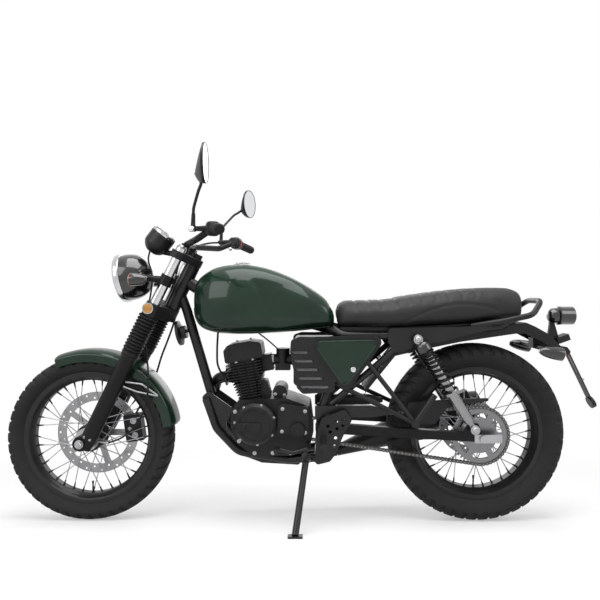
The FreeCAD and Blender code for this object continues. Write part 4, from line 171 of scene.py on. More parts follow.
def bar(start, end, radius, sides=20):
    """A straight round bar between two places."""
    start, end = np.asarray(start, float), np.asarray(end, float)
    return lathe([(0, radius), (float(np.linalg.norm(end - start)), radius)], start, end - start, sides)


def both(part):
    """A piece with its mirror image on the other side, whose faces are turned so that they point outwards."""
    v, f = part
    return joined([part, (v * np.array([1.0, -1.0, 1.0]), [list(q)[::-1] for q in f])])


def add_piece(body, name, part, finish, *replaces, sharp=40.0):
    """Puts a piece into the scene at its leaned place, riding on its body, in place of any CAD nodes named.
    Edges sharper than an angle in degrees stay sharp; zero keeps them all smooth."""
    vertices, faces = part
    mesh = bpy.data.meshes.new(name)
    mesh.from_pydata(placed(vertices).tolist(), [], [list(map(int, q)) for q in faces])
    bm = bmesh.new()
    bm.from_mesh(mesh)
    bmesh.ops.remove_doubles(bm, verts=bm.verts, dist=1e-6)
    bmesh.ops.recalc_face_normals(bm, faces=bm.faces)
    bm.to_mesh(mesh)
    bm.free()
    obj = bpy.data.objects.new(name, mesh)
    bpy.context.scene.collection.objects.link(obj)
    obj.data.materials.append(MATERIALS[finish])
    mesh.shade_smooth()
    if sharp:
        mesh.set_sharp_from_angle(angle=math.radians(sharp))
    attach(obj, body)
    if replaces:
        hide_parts(*replaces)
    return obj


def add_pieces(body, *rows):
    """Several pieces on one body: rows of name, part, finish and any CAD nodes that the piece replaces."""
    for row in rows:
        add_piece(body, *row)


# Shader maths


class Val:
    """A node socket whose sums are written as Python expressions."""

    def __init__(self, graph, socket):
        self.graph = graph
        self.socket = socket

    def _maths(self, operation, a, b=None, clamp=False):
        inputs = {0: a} if b is None else {0: a, 1: b}
        return self.graph.node("ShaderNodeMath", {"operation": operation, "use_clamp": clamp}, inputs)

    def __add__(self, other):
        return self._maths("ADD", self, other)

    __radd__ = __add__

    def __mul__(self, other):
        return self._maths("MULTIPLY", self, other)

    __rmul__ = __mul__

    def __sub__(self, other):
        return self._maths("SUBTRACT", self, other)

    def __rsub__(self, other):
        return self._maths("SUBTRACT", other, self)

    def sine(self):
        return self._maths("SINE", self)

    def clamped(self):
        return self._maths("ADD", self, 0.0, clamp=True)


class Graph:
    """A material's nodes, made by type with settings first and then their inputs."""

    def __init__(self, name):
        old = bpy.data.materials.get(name)
        if old:
            bpy.data.materials.remove(old)
        self.material = bpy.data.materials.new(name)
        self.material.use_nodes = True
        self.tree = self.material.node_tree
        self.tree.nodes.clear()
        self.output = self.tree.nodes.new("ShaderNodeOutputMaterial")

    def node(self, kind, settings=None, inputs=None, out=0):
        made = self.tree.nodes.new(kind)
        for key, value in (settings or {}).items():
            setattr(made, key, value)
        for key, value in (inputs or {}).items():
            if isinstance(value, Val):
                self.tree.links.new(value.socket, made.inputs[key])
            else:
                made.inputs[key].default_value = value
        return Val(self, made.outputs[out])

    def place(self):
        return self.node("ShaderNodeTexCoord", out="Object")

    def noise(self, scale, detail=3.0, rough=0.5, where=None):
        return self.node(
            "ShaderNodeTexNoise",
            {"noise_dimensions": "3D"},
            {"Vector": where or self.place(), "Scale": scale, "Detail": detail, "Roughness": rough},
            out="Fac",
        )

    def cells(self, scale):
        return self.node(
            "ShaderNodeTexVoronoi", {"feature": "F1"}, {"Vector": self.place(), "Scale": scale}, out="Distance"
        )

    def part(self, vector, axis):
        return self.node("ShaderNodeSeparateXYZ", None, {0: vector}, out=axis)

    def mix(self, amount, a, b):
        return self.node("ShaderNodeMix", {"data_type": "RGBA"}, {"Factor": amount, 6: rgba(a), 7: rgba(b)}, out=2)

    def ramp(self, value, stops):
        """A soft step: zero below the first stop, one above the second."""
        low, high = stops
        return self.node(
            "ShaderNodeMapRange",
            {"clamp": True},
            {"Value": value, "From Min": low, "From Max": high, "To Min": 0.0, "To Max": 1.0},
        )

    def bump(self, height, distance, strength=1.0, under=None):
        inputs = {"Height": height, "Distance": distance, "Strength": strength}
        if under is not None:
            inputs["Normal"] = under
        return self.node("ShaderNodeBump", None, inputs)

    def finish(self, **inputs):
        """The surface itself: a principled shader with these inputs."""
        shader = self.tree.nodes.new("ShaderNodeBsdfPrincipled")
        for key, value in inputs.items():
            key = key.replace("_", " ")
            if isinstance(value, Val):
                self.tree.links.new(value.socket, shader.inputs[key])
            elif key in ("Base Color", "Emission Color"):
                shader.inputs[key].default_value = rgba(value)
            else:
                shader.inputs[key].default_value = value
        self.tree.links.new(shader.outputs[0], self.output.inputs["Surface"])
        return self.material


def rgba(colour):
    return colour if isinstance(colour, Val) else (*tuple(colour)[:3], 1.0)


# Materials


def painted(name, colour, dark, flake=0.0, rough=0.28, coat=1.0, coat_rough=0.04, metal=0.0, gloss=0.3):
    """Sprayed paint: a slow drift of tone, fine flake and a slight orange peel under the lacquer."""
    g = Graph(name)
    tone = g.ramp(g.noise(9.0, 2.0), (0.3, 0.7))
    speck = g.ramp(g.noise(1800.0, 1.0), (0.5, 0.75)) * flake
    base = g.mix(tone, dark, colour)
    base = g.mix(speck.clamped(), base, tuple(min(1.0, c * 4 + 0.02) for c in colour))
    peel = g.bump(g.noise(260.0, 2.0), 0.00012, 0.25)
    return g.finish(
        Base_Color=base, Metallic=metal, Roughness=g.noise(60.0) * 0.08 + (rough - 0.04),
        Coat_Weight=coat, Coat_Roughness=coat_rough, Specular_IOR_Level=gloss, Normal=peel,
    )


def cast(name, colour, rough=0.5, grain=900.0, depth=0.0003, metallic=0.2, gloss=0.3):
    """Cast metal under paint: fine grain from the mould, slightly paler and smoother patches where it is
    handled, and a thin film of dust in the hollows of the grain."""
    g = Graph(name)
    fine = g.noise(grain, 4.0, 0.6)
    patch = g.ramp(g.noise(26.0, 3.0), (0.35, 0.7))
    dust = g.ramp(fine, (0.62, 0.8)) * 0.35
    base = g.mix(patch, tuple(c * 0.75 for c in colour), tuple(c * 1.25 for c in colour))
    base = g.mix(dust, base, tuple(c * 2.2 + 0.004 for c in colour))
    return g.finish(
        Base_Color=base, Metallic=metallic, Roughness=g.noise(70.0) * 0.2 + (rough - 0.1),
        Specular_IOR_Level=gloss, Normal=g.bump(fine, depth, 0.5),
    )


def metal(name, colour, rough=0.2, streak=0.12, scale=(300.0, 300.0, 30.0)):
    """Bare or plated metal with fine streaks in its polish."""
    g = Graph(name)
    where = g.node("ShaderNodeMapping", None, {"Vector": g.place(), "Scale": scale})
    lines = g.noise(1.0, 3.0, 0.6, where)
    smudge = g.noise(18.0, 3.0)
    base = g.mix(smudge, tuple(c * 0.8 for c in colour), colour)
    return g.finish(
        Base_Color=base, Metallic=1.0, Roughness=lines * streak + smudge * streak + (rough - streak),
        Normal=g.bump(lines, 0.00004, 0.3),
    )


def rubbery(name, colour, rough=0.62, grain=700.0, dust=0.25, gloss=0.2):
    """Moulded rubber: matt, faintly speckled, with a little dust."""
    g = Graph(name)
    dusty = g.ramp(g.noise(14.0, 4.0), (0.45, 0.8)) * dust
    base = g.mix(dusty.clamped(), colour, tuple(c * 1.7 + 0.006 for c in colour))
    return g.finish(
        Base_Color=base, Roughness=g.noise(40.0) * 0.18 + (rough - 0.09),
        Specular_IOR_Level=gloss, Normal=g.bump(g.noise(grain, 3.0), 0.0002, 0.4),
    )


def leather(name, colour):
    """Grained seat covering: small cells with creases, slightly paler where it is stretched."""
    g = Graph(name)
    grain = g.cells(380.0)
    pores = g.noise(1100.0, 2.0)
    drift = g.noise(7.0, 2.0)
    base = g.mix(drift, colour, tuple(c * 1.5 for c in colour))
    fine = g.bump(pores, 0.0001, 0.25)
    return g.finish(
        Base_Color=base, Roughness=grain * 0.25 + 0.45, Normal=g.bump(grain, 0.0003, 0.35, fine),
        Specular_IOR_Level=0.3,
    )


def lens(name, colour, ribs=900.0, alpha=1.0, glow=0.0):
    """A moulded lamp lens with fine vertical prisms."""
    g = Graph(name)
    lines = (g.part(g.place(), "Y") * ribs).sine() * 0.5 + 0.5
    base = g.mix(lines, tuple(c * 0.8 for c in colour), colour)
    return g.finish(
        Base_Color=base, Roughness=0.12 + g.noise(90.0) * 0.05, Coat_Weight=0.6, Alpha=alpha,
        Emission_Color=colour, Emission_Strength=glow, Normal=g.bump(lines, 0.0004, 0.35),
    )


def disc_metal(name, hub, colour):
    """Ground steel with rings round the wheel's centre, from the distance to the axle line."""
    g = Graph(name)
    shift = g.node("ShaderNodeVectorMath", {"operation": "SUBTRACT"}, {0: g.place(), 1: tuple(hub)})
    span = g.node("ShaderNodeVectorMath", {"operation": "LENGTH"}, {0: shift}, out="Value")
    rings = (span * 4200.0).sine() * 0.5 + 0.5
    wear = g.noise(30.0, 3.0)
    base = g.mix(rings * 0.35, colour, tuple(c * 0.7 for c in colour))
    return g.finish(
        Base_Color=base, Metallic=1.0, Roughness=rings * 0.1 + wear * 0.12 + 0.24,
        Normal=g.bump(rings, 0.00005, 0.3),
    )


def make_materials(tint):
    """Every finish of the machine by its own name."""
    green = tuple(tint.paint)
    dark = tuple(c * 0.55 for c in green)
    black = tuple(tint.black)
    made = (
        painted("green_paint", green, dark, flake=0.3, metal=0.1, rough=0.32, coat=0.42, gloss=0.12),
        painted("black_frame", black, tuple(c * 0.6 for c in black), coat=0.15, rough=0.36, gloss=0.25),
        cast("black_casting", (0.011, 0.011, 0.0115)),
        cast("engine_black", (0.012, 0.012, 0.0125), rough=0.45, grain=700.0, metallic=0.25, gloss=0.3),
        painted("dark_steel", (0.012, 0.012, 0.012), (0.006, 0.006, 0.006), coat=0.1, rough=0.42, gloss=0.25),
        metal("bright_steel", (0.42, 0.42, 0.43), 0.32),
        metal("spoke_steel", (0.34, 0.34, 0.35), 0.36),
        metal("chrome", (0.62, 0.62, 0.64), 0.13, 0.05),
        metal("damper_grey", (0.3, 0.3, 0.305), 0.27),
        metal("chain_steel", (0.1, 0.098, 0.094), 0.42),
        disc_metal("disc_steel", FRONT_AT, (0.33, 0.33, 0.335)),
        disc_metal("sprocket_steel", REAR_AT, (0.21, 0.21, 0.215)),
        rubbery("tyre", (0.019, 0.019, 0.0195), 0.7, dust=0.25, gloss=0.2),
        rubbery("rubber", (0.008, 0.008, 0.008), 0.55, dust=0.1),
        leather("seat_cover", (0.012, 0.012, 0.0125)),
        rubbery("black_plastic", (0.011, 0.011, 0.0115), 0.42, 1500.0, 0.08, gloss=0.28),
        painted("satin_black", (0.0065, 0.0065, 0.007), (0.004, 0.004, 0.0042), coat=0.05, rough=0.4, gloss=0.16),
        painted("gloss_black", (0.008, 0.008, 0.0085), (0.005, 0.005, 0.0052), coat=1.0, rough=0.25, gloss=0.3),
        painted("spring_black", (0.006, 0.006, 0.0065), (0.004, 0.004, 0.004), coat=0.05, rough=0.42, gloss=0.14),
        metal("lever_alloy", (0.72, 0.72, 0.73), 0.22),
        rubbery("red_plastic", (0.35, 0.012, 0.01), 0.4, 1500.0, 0.05, gloss=0.35),
        rubbery("pale_mark", (0.5, 0.5, 0.48), 0.5, 1500.0, 0.05),
        lens("amber_lens", (0.62, 0.14, 0.012)),
        lens("amber_reflector", (0.56, 0.26, 0.045), 1300.0),
        lens("red_lens", (0.32, 0.008, 0.008)),
        metal("mirror_glass", (0.82, 0.83, 0.85), 0.04, 0.01),
        lens("clear_glass", (0.42, 0.45, 0.47), alpha=0.15),
    )
    return {material.name: material for material in made}


class MotorcycleLook(bpy.types.PropertyGroup):
    """Colours that a user would change."""

    paint: bpy.props.FloatVectorProperty(
        name="Paint", description="Colour of the tank, mudguard and side panels",
        subtype="COLOR", size=3, min=0, max=1, default=(0.006, 0.024, 0.0125),
    )
    black: bpy.props.FloatVectorProperty(
        name="Black", description="Colour of the frame and the fork legs",
        subtype="COLOR", size=3, min=0, max=1, default=(0.012, 0.012, 0.0125),
    )
    ambient: bpy.props.FloatProperty(
        name="Ambient", description="Strength of the soft light from all round", default=0.34, min=0.0, max=2.0,
    )
    distance: bpy.props.FloatProperty(
        name="Distance", description="From the lens to the machine's middle plane",
        subtype="DISTANCE", unit="LENGTH", default=1.915,
    )


MATERIALS = {}

# Nodes whose finish is finer than their slot's.
OWN_FINISH = {
    "crankcase": "engine_black",
    "cylinder": "engine_black",
    "carburettor": "engine_black",
    "sprocket": "sprocket_steel",
    "rear_disc": "sprocket_steel",
    "swingarm": "satin_black",
    "fork_lowers": "satin_black",
    "lamp_brackets": "satin_black",
    "handlebar": "satin_black",
}


class MOTORCYCLE_OT_finishes(bpy.types.Operator):
    """Makes the materials and gives one to every CAD node"""

    bl_idname = "motorcycle.finishes"
    bl_label = "Finishes"

    def execute(self, context):
        MATERIALS.update(make_materials(context.scene.motorcycle_look))
        for part in frame["record"]["subparts"]:
            slots = frame["nodes"][part["node"]].data.materials
            slots.clear()
            slots.append(MATERIALS[OWN_FINISH.get(part["node"], part["material_slot"])])
        return {"FINISHED"}


# Wheels

RIM_SEAT = 0.218
RIM_FLANGE = 0.23
RIM_WELL = 0.199
RIM_LIP = 0.01
HUB_FLANGE = 0.048


def round_hub(hub, r, y, turn):
    """Places at a radius and a side shift, turned about a wheel's axis."""
    return np.stack(np.broadcast_arrays(hub[0] + r * np.cos(turn), hub[1] + y, hub[2] + r * np.sin(turn)), -1)


def tyre_shell(hub, radius, width, rim_width, blocks, columns=72, rows=720):
    """A tyre: its section is a smooth curve from bead to crown, carried round the hub, and the tread is
    pressed inwards by slanted grooves that widen to the shoulder and by two zigzag lines beside the crown."""
    rise = radius - RIM_SEAT
    bead = rim_width / 2 - RIM_LIP
    bulge = width / 2 - bead
    half = np.array(
        [
            (RIM_SEAT, bead),
            (RIM_SEAT + rise * 0.17, bead + bulge * 0.32),
            (RIM_SEAT + rise * 0.38, bead + bulge * 0.8),
            (RIM_SEAT + rise * 0.6, bead + bulge * 0.99),
            (RIM_SEAT + rise * 0.76, width / 2 * 0.94),
            (RIM_SEAT + rise * 0.88, width / 2 * 0.78),
            (RIM_SEAT + rise * 0.96, width / 2 * 0.52),
            (RIM_SEAT + rise * 0.99, width / 2 * 0.28),
            (radius, 0.0),
        ]
    )
    line = np.concatenate([half, (half * [1, -1])[::-1][1:]])
    section = smooth_line(line, columns)
    turn = full_turn(rows)[:, None]
    r, y = section[None, :, 0], section[None, :, 1]
    across = np.abs(y) / (width / 2)
    depth = (r - RIM_FLANGE) / (radius - RIM_FLANGE)
    phase = turn * blocks / TAU + across * 0.8 + 0.5 * (y > 0)
    wave = np.abs((phase % 1.0) - 0.5) * 2
    groove = np.clip((wave - (0.86 - 0.26 * across)) * 14, 0, 1)
    groove = groove * np.clip((across - 0.2) * 12, 0, 1) * np.clip((depth - 0.52) * 9, 0, 1)
    zigzag = 0.13 + 0.05 * np.abs(((turn * blocks / TAU) % 1.0) - 0.5) * 2
    centre = np.clip(1 - np.abs(across - zigzag) / 0.035, 0, 1) * (depth > 0.8)
    ribs = 0.0006 * (np.abs(depth - 0.3) < 0.03) - 0.0006 * (np.abs(depth - 0.14) < 0.02)
    r = r - 0.0056 * np.maximum(groove, centre) + ribs
    y = np.broadcast_to(y, r.shape) * (1 - 0.055 * groove)
    return surface(round_hub(hub, r, y, turn), close_rows=True)


def rim_shell(hub, width):
    """The rim's closed section: flanges that flare outward beside the tyre, bead seats and a well, carried
    round the hub."""
    h = width / 2
    lip = h - RIM_LIP
    side = [
        (RIM_SEAT - 0.003, lip), (RIM_FLANGE - 0.002, h - 0.0035), (RIM_FLANGE, h - 0.0018), (RIM_FLANGE, h - 0.0004),
        (RIM_FLANGE - 0.0015, h), (RIM_SEAT - 0.003, h - 0.001), (RIM_SEAT - 0.006, h * 0.9),
        (RIM_SEAT - 0.009, h * 0.6), (RIM_WELL, h * 0.34),
    ]
    back = [(RIM_WELL + 0.003, h * 0.28), (RIM_SEAT - 0.006, h * 0.45)]
    line = np.array([*back, *side, *[(a, -b) for a, b in side[::-1]], *[(a, -b) for a, b in back[::-1]]])
    points = round_hub(hub, line[None, :, 0], line[None, :, 1], full_turn(192)[:, None])
    return surface(points, close_rows=True, close_columns=True)


def spoke_ends(hub, hub_width, count=36):
    """Feet at the rim and heads at the hub's flanges: neighbours cross over, and sides alternate."""
    k = np.arange(count)
    side = np.where(k % 2, 1, -1)
    lead = np.where((k // 2) % 2, 1, -1)
    foot = k * TAU / count
    head = foot + lead * TAU / count * 5.5
    y_hub = side * (hub_width / 2 - 0.004 + lead * 0.002)
    return round_hub(hub, HUB_FLANGE - 0.0034, y_hub, head), round_hub(hub, RIM_WELL + 0.001, side * 0.004, foot)


def spoke_sets(hub, hub_width):
    """A thin bar for every spoke, and at its foot a nipple that tapers towards the hub."""
    spokes, nipples = [], []
    for head, foot in zip(*spoke_ends(hub, hub_width)):
        spokes.append(bar(head, foot, 0.0016, 8))
        nipples.append(lathe([(-0.019, 0.0022), (-0.004, 0.0032), (0.0, 0.0036)], foot, unit(foot - head), 8))
    return joined(spokes), joined(nipples)


def hub_shell(hub, width, disc_place, bore=0.0082):
    """A barrel with two flanges and the disc's boss, turned about the axle."""
    h = width / 2
    f = HUB_FLANGE
    line = [
        (-h, bore), (-h, 0.036), (-h + 0.001, f - 0.001), (-h + 0.003, f), (-h + 0.008, f - 0.0005),
        (-h + 0.012, 0.029), (-h + 0.02, 0.0235), (h - 0.02, 0.0235), (h - 0.012, 0.029),
        (h - 0.008, f - 0.0005), (h - 0.003, f), (h - 0.001, f - 0.001), (h, 0.034), (h + 0.001, 0.0295),
        (disc_place - 0.0026, 0.0295), (disc_place - 0.0026, bore),
    ]
    return lathe(line, hub, RIGHT, 72)


def valve(hub):
    """The tube's valve, from the rim's well towards the hub, with its cap."""
    line = [(0, 0.004), (0.004, 0.004), (0.006, 0.0028), (0.03, 0.0026), (0.031, 0.0035), (0.038, 0.0033)]
    return lathe(line, hub + np.array([0, 0, -RIM_WELL]), UP, 12)


class MOTORCYCLE_OT_wheels(bpy.types.Operator):
    """Tyres with their tread, spoked rims, spokes, nipples and hubs"""

    bl_idname = "motorcycle.wheels"
    bl_label = "Wheels"

    def execute(self, context):
        for body, hub, radius, width, rim_width, hub_width, disc_place, blocks in (
            ("front_wheel", FRONT_HUB, FRONT_RADIUS, 0.1, 0.064, 0.066, FRONT_DISC_Y, 44),
            ("rear_wheel", REAR_HUB, REAR_RADIUS, 0.128, 0.088, 0.084, REAR_DISC_Y, 46),
        ):
            name = body.split("_")[0]
            shell = tyre_shell(hub, radius, width, rim_width, blocks)
            spokes, nipples = spoke_sets(hub, hub_width)
            add_piece(body, name + "_tyre_tread", shell, "tyre", name + "_tyre", sharp=30)
            add_pieces(
                body,
                (name + "_rim", rim_shell(hub, rim_width), "black_frame", name + "_wheel"),
                (name + "_spokes", spokes, "spoke_steel"),
                (name + "_nipples", nipples, "dark_steel"),
                (name + "_hub", hub_shell(hub, hub_width, disc_place), "black_casting"),
                (name + "_valve", valve(hub), "rubber"),
            )
        return {"FINISHED"}


# Tank, seat and panels

# Stations of the tank and the seat: share of length, of base height, of top height and of half width.
TANK_STATIONS = np.array(
    [
        (0.0, 0.36, 0.66, 0.3), (0.018, 0.22, 0.755, 0.5), (0.065, 0.09, 0.85, 0.72), (0.15, 0.02, 0.945, 0.9),
        (0.27, 0.0, 0.995, 1.0), (0.39, 0.0, 1.0, 1.0), (0.53, 0.01, 0.95, 1.0), (0.68, 0.03, 0.84, 0.95),
        (0.83, 0.06, 0.68, 0.85), (0.94, 0.09, 0.52, 0.74), (0.985, 0.12, 0.37, 0.6), (1.0, 0.16, 0.28, 0.5),
    ]
)
SEAT_STATIONS = np.array(
    [
        (0.0, 0.03, 0.5, 0.58), (0.015, 0.0, 0.59, 0.74), (0.06, 0.0, 0.63, 0.86), (0.18, 0.0, 0.645, 0.98),
        (0.28, 0.0, 0.67, 1.0), (0.37, 0.01, 0.755, 1.0), (0.52, 0.05, 0.857, 0.97), (0.66, 0.09, 0.93, 0.93),
        (0.8, 0.13, 0.967, 0.88), (0.92, 0.15, 0.965, 0.81), (0.98, 0.17, 0.93, 0.73), (1.0, 0.22, 0.85, 0.6),
    ]
)
# Where a form starts and ends along X and along Z, its half width, where it is widest, and its power.
TANK_FORM = (-0.308, 0.179, 0.652, 0.897, 0.13, 0.34, 2.7)
SEAT_FORM = (0.187, 0.824, 0.68, 0.814, 0.132, 0.3, 3.0)
# The side seam of the rear hump, as X and Z
SEAT_SEAM = np.array(
    [
        (0.393, 0.688), (0.44, 0.712), (0.494, 0.737), (0.54, 0.75), (0.586, 0.758), (0.64, 0.757), (0.688, 0.752),
        (0.732, 0.736),
    ]
)
SEAM_PITCH = 0.0453
TANK_COLUMNS = 96


def lofted(stations, front, rear, base, top, half, waist_share, power, rows=90, columns=TANK_COLUMNS):
    """Superellipse sections: each point is half width times cosine, and height times sine, both raised to
    two over the power; the widest line lies at a share of the height, and rows follow the stations."""
    line = smooth_line(stations, rows)
    x = (front + (rear - front) * line[:, 0])[:, None]
    low = (base + (top - base) * line[:, 1])[:, None]
    high = (base + (top - base) * line[:, 2])[:, None]
    wide = (half * line[:, 3])[:, None]
    waist = low + (high - low) * waist_share
    turn = full_turn(columns)
    c, s = np.cos(turn)[None], np.sin(turn)[None]
    y = wide * np.sign(c) * np.abs(c) ** (2 / power)
    rise = np.where(s > 0, high - waist, waist - low)
    z = waist + rise * np.sign(s) * np.abs(s) ** (2 / power)
    return np.stack([np.broadcast_to(x, y.shape), y, z], -1)


def closed_loft(points, steps=6):
    """Closes both ends in even quads, by rows that shrink the end sections to their middles."""
    share = np.linspace(1, 0.04, steps)[1:, None, None]
    first, last = (edge.mean(0) + (edge[None] - edge.mean(0)) * share for edge in (points[0], points[-1]))
    return sleeve(np.concatenate([first[::-1], points, last]))


def knee_recess(points):
    """Presses the flanks in behind a slanted crease: the depth rises along X over 14 mm past the crease line
    x = 0.43 (0.828 - z) - 0.102, and fades towards the top, the bottom and the tank's rear end."""
    x, z = points[..., 0], points[..., 2]
    past = np.clip((x + 0.102 - 0.43 * (0.828 - z)) / 0.014, 0, 1)
    past = past * past * (3 - 2 * past)
    fade = np.clip((0.85 - z) / 0.03, 0, 1) * np.clip((0.16 - x) / 0.12, 0, 1) * np.clip((z - 0.672) / 0.02, 0, 1)
    out = points.copy()
    out[..., 1] *= 1 - 0.055 * past * fade
    return out


def tank_flange(points):
    """The welded seam: a flattened tube that follows the shell's lower edge, where the section has turned
    52 degrees below its widest line, and climbs round the front end."""
    columns = points.shape[1]
    column = int(round(columns * (1 - 52 / 360)))
    side = points[1:-2, column]
    middle = points.mean(1)[1:-2]
    out = side - middle
    side = side + out / np.linalg.norm(out, axis=1, keepdims=True) * 0.0012
    left = side * [1, -1, 1]
    front = np.linspace(left[0], side[0], 7)[1:-1]
    front[:, 0] -= 0.006 * np.sin(np.linspace(0, np.pi, 7)[1:-1])
    line = smooth_line(np.concatenate([left[::-1], front, side]), 260)
    return tube(line, 0.0034, 10)


def cap_piece():
    """The screwed filler cap: a flared skirt, a ribbed grip and a domed top."""
    at = np.array([-0.142, 0.0, 0.8875])
    skirt = lathe([(0, 0.0285), (0.004, 0.0285), (0.006, 0.0275), (0.006, 0.024)], at, UP, 64)
    turn = full_turn(160)
    grip = 0.0242 + 0.0008 * np.sin(turn * 32)
    rows = [(0.005, 1.0), (0.0125, 1.0), (0.0145, 0.93), (0.0158, 0.7), (0.016, 0.3)]
    rings = [np.stack([np.cos(turn) * grip * r, np.sin(turn) * grip * r, np.full_like(turn, h)], -1) for h, r in rows]
    return joined([skirt, sleeve(at + np.stack(rings))])


def read_places(obj):
    """A mesh's points as rows of X, Y and Z."""
    co = np.empty(len(obj.data.vertices) * 3)
    obj.data.vertices.foreach_get("co", co)
    return co.reshape(-1, 3)


def swell(obj, voxel=0.006, cap=0.006, pressure=4.0):
    """Pads a closed mesh by a short cloth run under inner pressure; a point that has moved further than the cap
    is drawn back along its way to that distance."""
    scene = bpy.context.scene
    remesh = obj.modifiers.new("voxels", "REMESH")
    remesh.mode = "VOXEL"
    remesh.voxel_size = voxel
    apply_modifiers(obj)
    start = read_places(obj)
    cloth = obj.modifiers.new("cloth", "CLOTH")
    cloth.settings.use_pressure = True
    cloth.settings.uniform_pressure_force = pressure
    cloth.settings.effector_weights.gravity = 0.0
    scene.frame_start, scene.frame_end = 1, 20
    for frame_number in range(1, 21):
        scene.frame_set(frame_number)
    apply_modifiers(obj)
    move = read_places(obj) - start
    size = np.linalg.norm(move, axis=1, keepdims=True)
    move = move * np.minimum(1.0, cap / np.maximum(size, 1e-9))
    obj.data.vertices.foreach_set("co", (start + move).ravel())
    scene.frame_set(1)


def apply_modifiers(obj):
    """Bakes the modifiers into the mesh as they stand."""
    graph = bpy.context.evaluated_depsgraph_get()
    graph.update()
    mesh = bpy.data.meshes.new_from_object(obj.evaluated_get(graph))
    obj.modifiers.clear()
    old = obj.data
    obj.data = mesh
    bpy.data.meshes.remove(old)


def upright(points):
    """Leaned places back to the upright machine's."""
    return (points - FRONT_AT) @ TURN + FRONT_HUB


def seat_seams(obj):
    """Presses the channels into the seat's top, a narrow dip every 45.3 mm, and a sewn line into its sides
    that rises round the hump: near that line the half width shrinks by a bell curve."""
    p = upright(read_places(obj))
    phase = (p[:, 0] - 0.251) / SEAM_PITCH
    near = np.abs(phase - np.round(phase)) * SEAM_PITCH
    front, rear, base, crest, half = SEAT_FORM[:5]
    along = front + (rear - front) * SEAT_STATIONS[:, 0]
    height = np.interp(p[:, 0], along, base + (crest - base) * SEAT_STATIONS[:, 2])
    wide = np.interp(p[:, 0], along, half * SEAT_STATIONS[:, 3])
    top = np.clip((p[:, 2] - height + 0.034) / 0.012, 0, 1) * np.clip((wide * 0.93 - np.abs(p[:, 1])) / 0.006, 0, 1)
    ends = np.clip((p[:, 0] - 0.235) / 0.006, 0, 1) * np.clip((0.675 - p[:, 0]) / 0.006, 0, 1)
    p[:, 2] -= 0.0052 * np.exp(-((near / 0.0042) ** 2)) * top * ends
    line = np.interp(p[:, 0], SEAT_SEAM[:, 0], SEAT_SEAM[:, 1])
    close = np.exp(-(((p[:, 2] - line) / 0.0034) ** 2)) * (np.abs(p[:, 1]) > wide * 0.6)
    close *= np.clip((p[:, 0] - 0.39) / 0.01, 0, 1) * np.clip((0.735 - p[:, 0]) / 0.01, 0, 1)
    p[:, 1] *= 1 - 0.03 * close
    obj.data.vertices.foreach_set("co", placed(p).ravel())
    obj.data.update()


class MOTORCYCLE_OT_tank(bpy.types.Operator):
    """Tank shell, its welded flange and the filler cap"""

    bl_idname = "motorcycle.tank"
    bl_label = "Tank"

    def execute(self, context):
        points = lofted(TANK_STATIONS, *TANK_FORM)
        add_piece("chassis", "tank_shell", closed_loft(knee_recess(points)), "green_paint", "fuel_tank", sharp=0)
        add_pieces(
            "chassis",
            ("tank_flange", tank_flange(points), "green_paint"),
            ("tank_cap", cap_piece(), "damper_grey", "fuel_cap"),
        )
        return {"FINISHED"}


class MOTORCYCLE_OT_seat(bpy.types.Operator):
    """The long cushion: a loft made 3% small is swollen as cloth, then gets its sewn channels"""

    bl_idname = "motorcycle.seat"
    bl_label = "Seat"

    def execute(self, context):
        points = lofted(SEAT_STATIONS, *SEAT_FORM, rows=300, columns=160)
        middle = points.mean(1, keepdims=True)
        small = middle + (points - middle) * 0.97
        obj = add_piece("chassis", "seat_cushion", closed_loft(small), "seat_cover", "seat", sharp=0)
        swell(obj)
        seat_seams(obj)
        obj.data.shade_smooth()
        return {"FINISHED"}


# Fork, lamps, instrument and mirrors

HALF_LEGS = 0.086
AXLE_LEAD = 0.014
FORK_UP = np.array([math.sin(RAKE), 0.0, math.cos(RAKE)])


def gaiter():
    """A bellows boot: its radius swells and narrows eleven times as a rounded wave along the tube."""
    w = np.linspace(0.0, 0.131, 11 * 12 + 1)
    wave = np.abs(np.sin(np.pi * w / 0.131 * 11)) ** 0.8
    radius = 0.0252 + 0.0076 * wave
    line = [(0.0, 0.0178), *zip(w, radius), (0.131, 0.0178)]
    return lathe(line, at_fork(AXLE_LEAD, HALF_LEGS, 0.353), FORK_UP, 48)


def headlight_parts():
    """The lamp's bowl, its bright rim and the ribbed glass, all turned about the dipped lamp axis."""
    dip = math.radians(10.0)
    back = np.array([math.cos(dip), 0.0, math.sin(dip)])
    at = np.array([-0.57, 0.0, 0.846])
    r, d = 0.086, 0.112
    share = np.linspace(0, 1, 24)
    curve = r * 0.955 * np.sqrt(np.clip(1 - share**2.6, 0, 1))
    bowl = lathe([(0.012, r * 0.9), *zip(0.014 + share[:-1] * (d - 0.014), curve[:-1]), (d, 0.012)], at, back, 96)
    rim_line = [(0.016, r * 0.94), (0.015, r * 0.985), (0.01, r * 0.998), (0.003, r), (-0.003, r * 0.985),
                (-0.006, r * 0.95), (-0.0045, r * 0.925), (0.002, r * 0.915), (0.008, r * 0.9)]
    rim = lathe(rim_line, at, back, 96)
    bulge = np.linspace(0, 1, 12)[:0:-1]
    dome = zip(-0.0115 * np.sqrt(1 - bulge**2) + 0.002, r * 0.915 * bulge)
    glass = lathe([(0.004, r * 0.915), *dome, (-0.0095, 0.002)], at, back, 96)
    dish = lathe(
        [(0.002, r * 0.9), (0.02, r * 0.82), (0.045, r * 0.6), (0.062, r * 0.34), (0.068, r * 0.12), (0.069, 0.002)],
        at, back, 96,
    )
    bulb = lathe([(0.068, 0.008), (0.05, 0.009), (0.035, 0.008), (0.031, 0.004)], at, back, 24)
    return bowl, rim, glass, dish, bulb


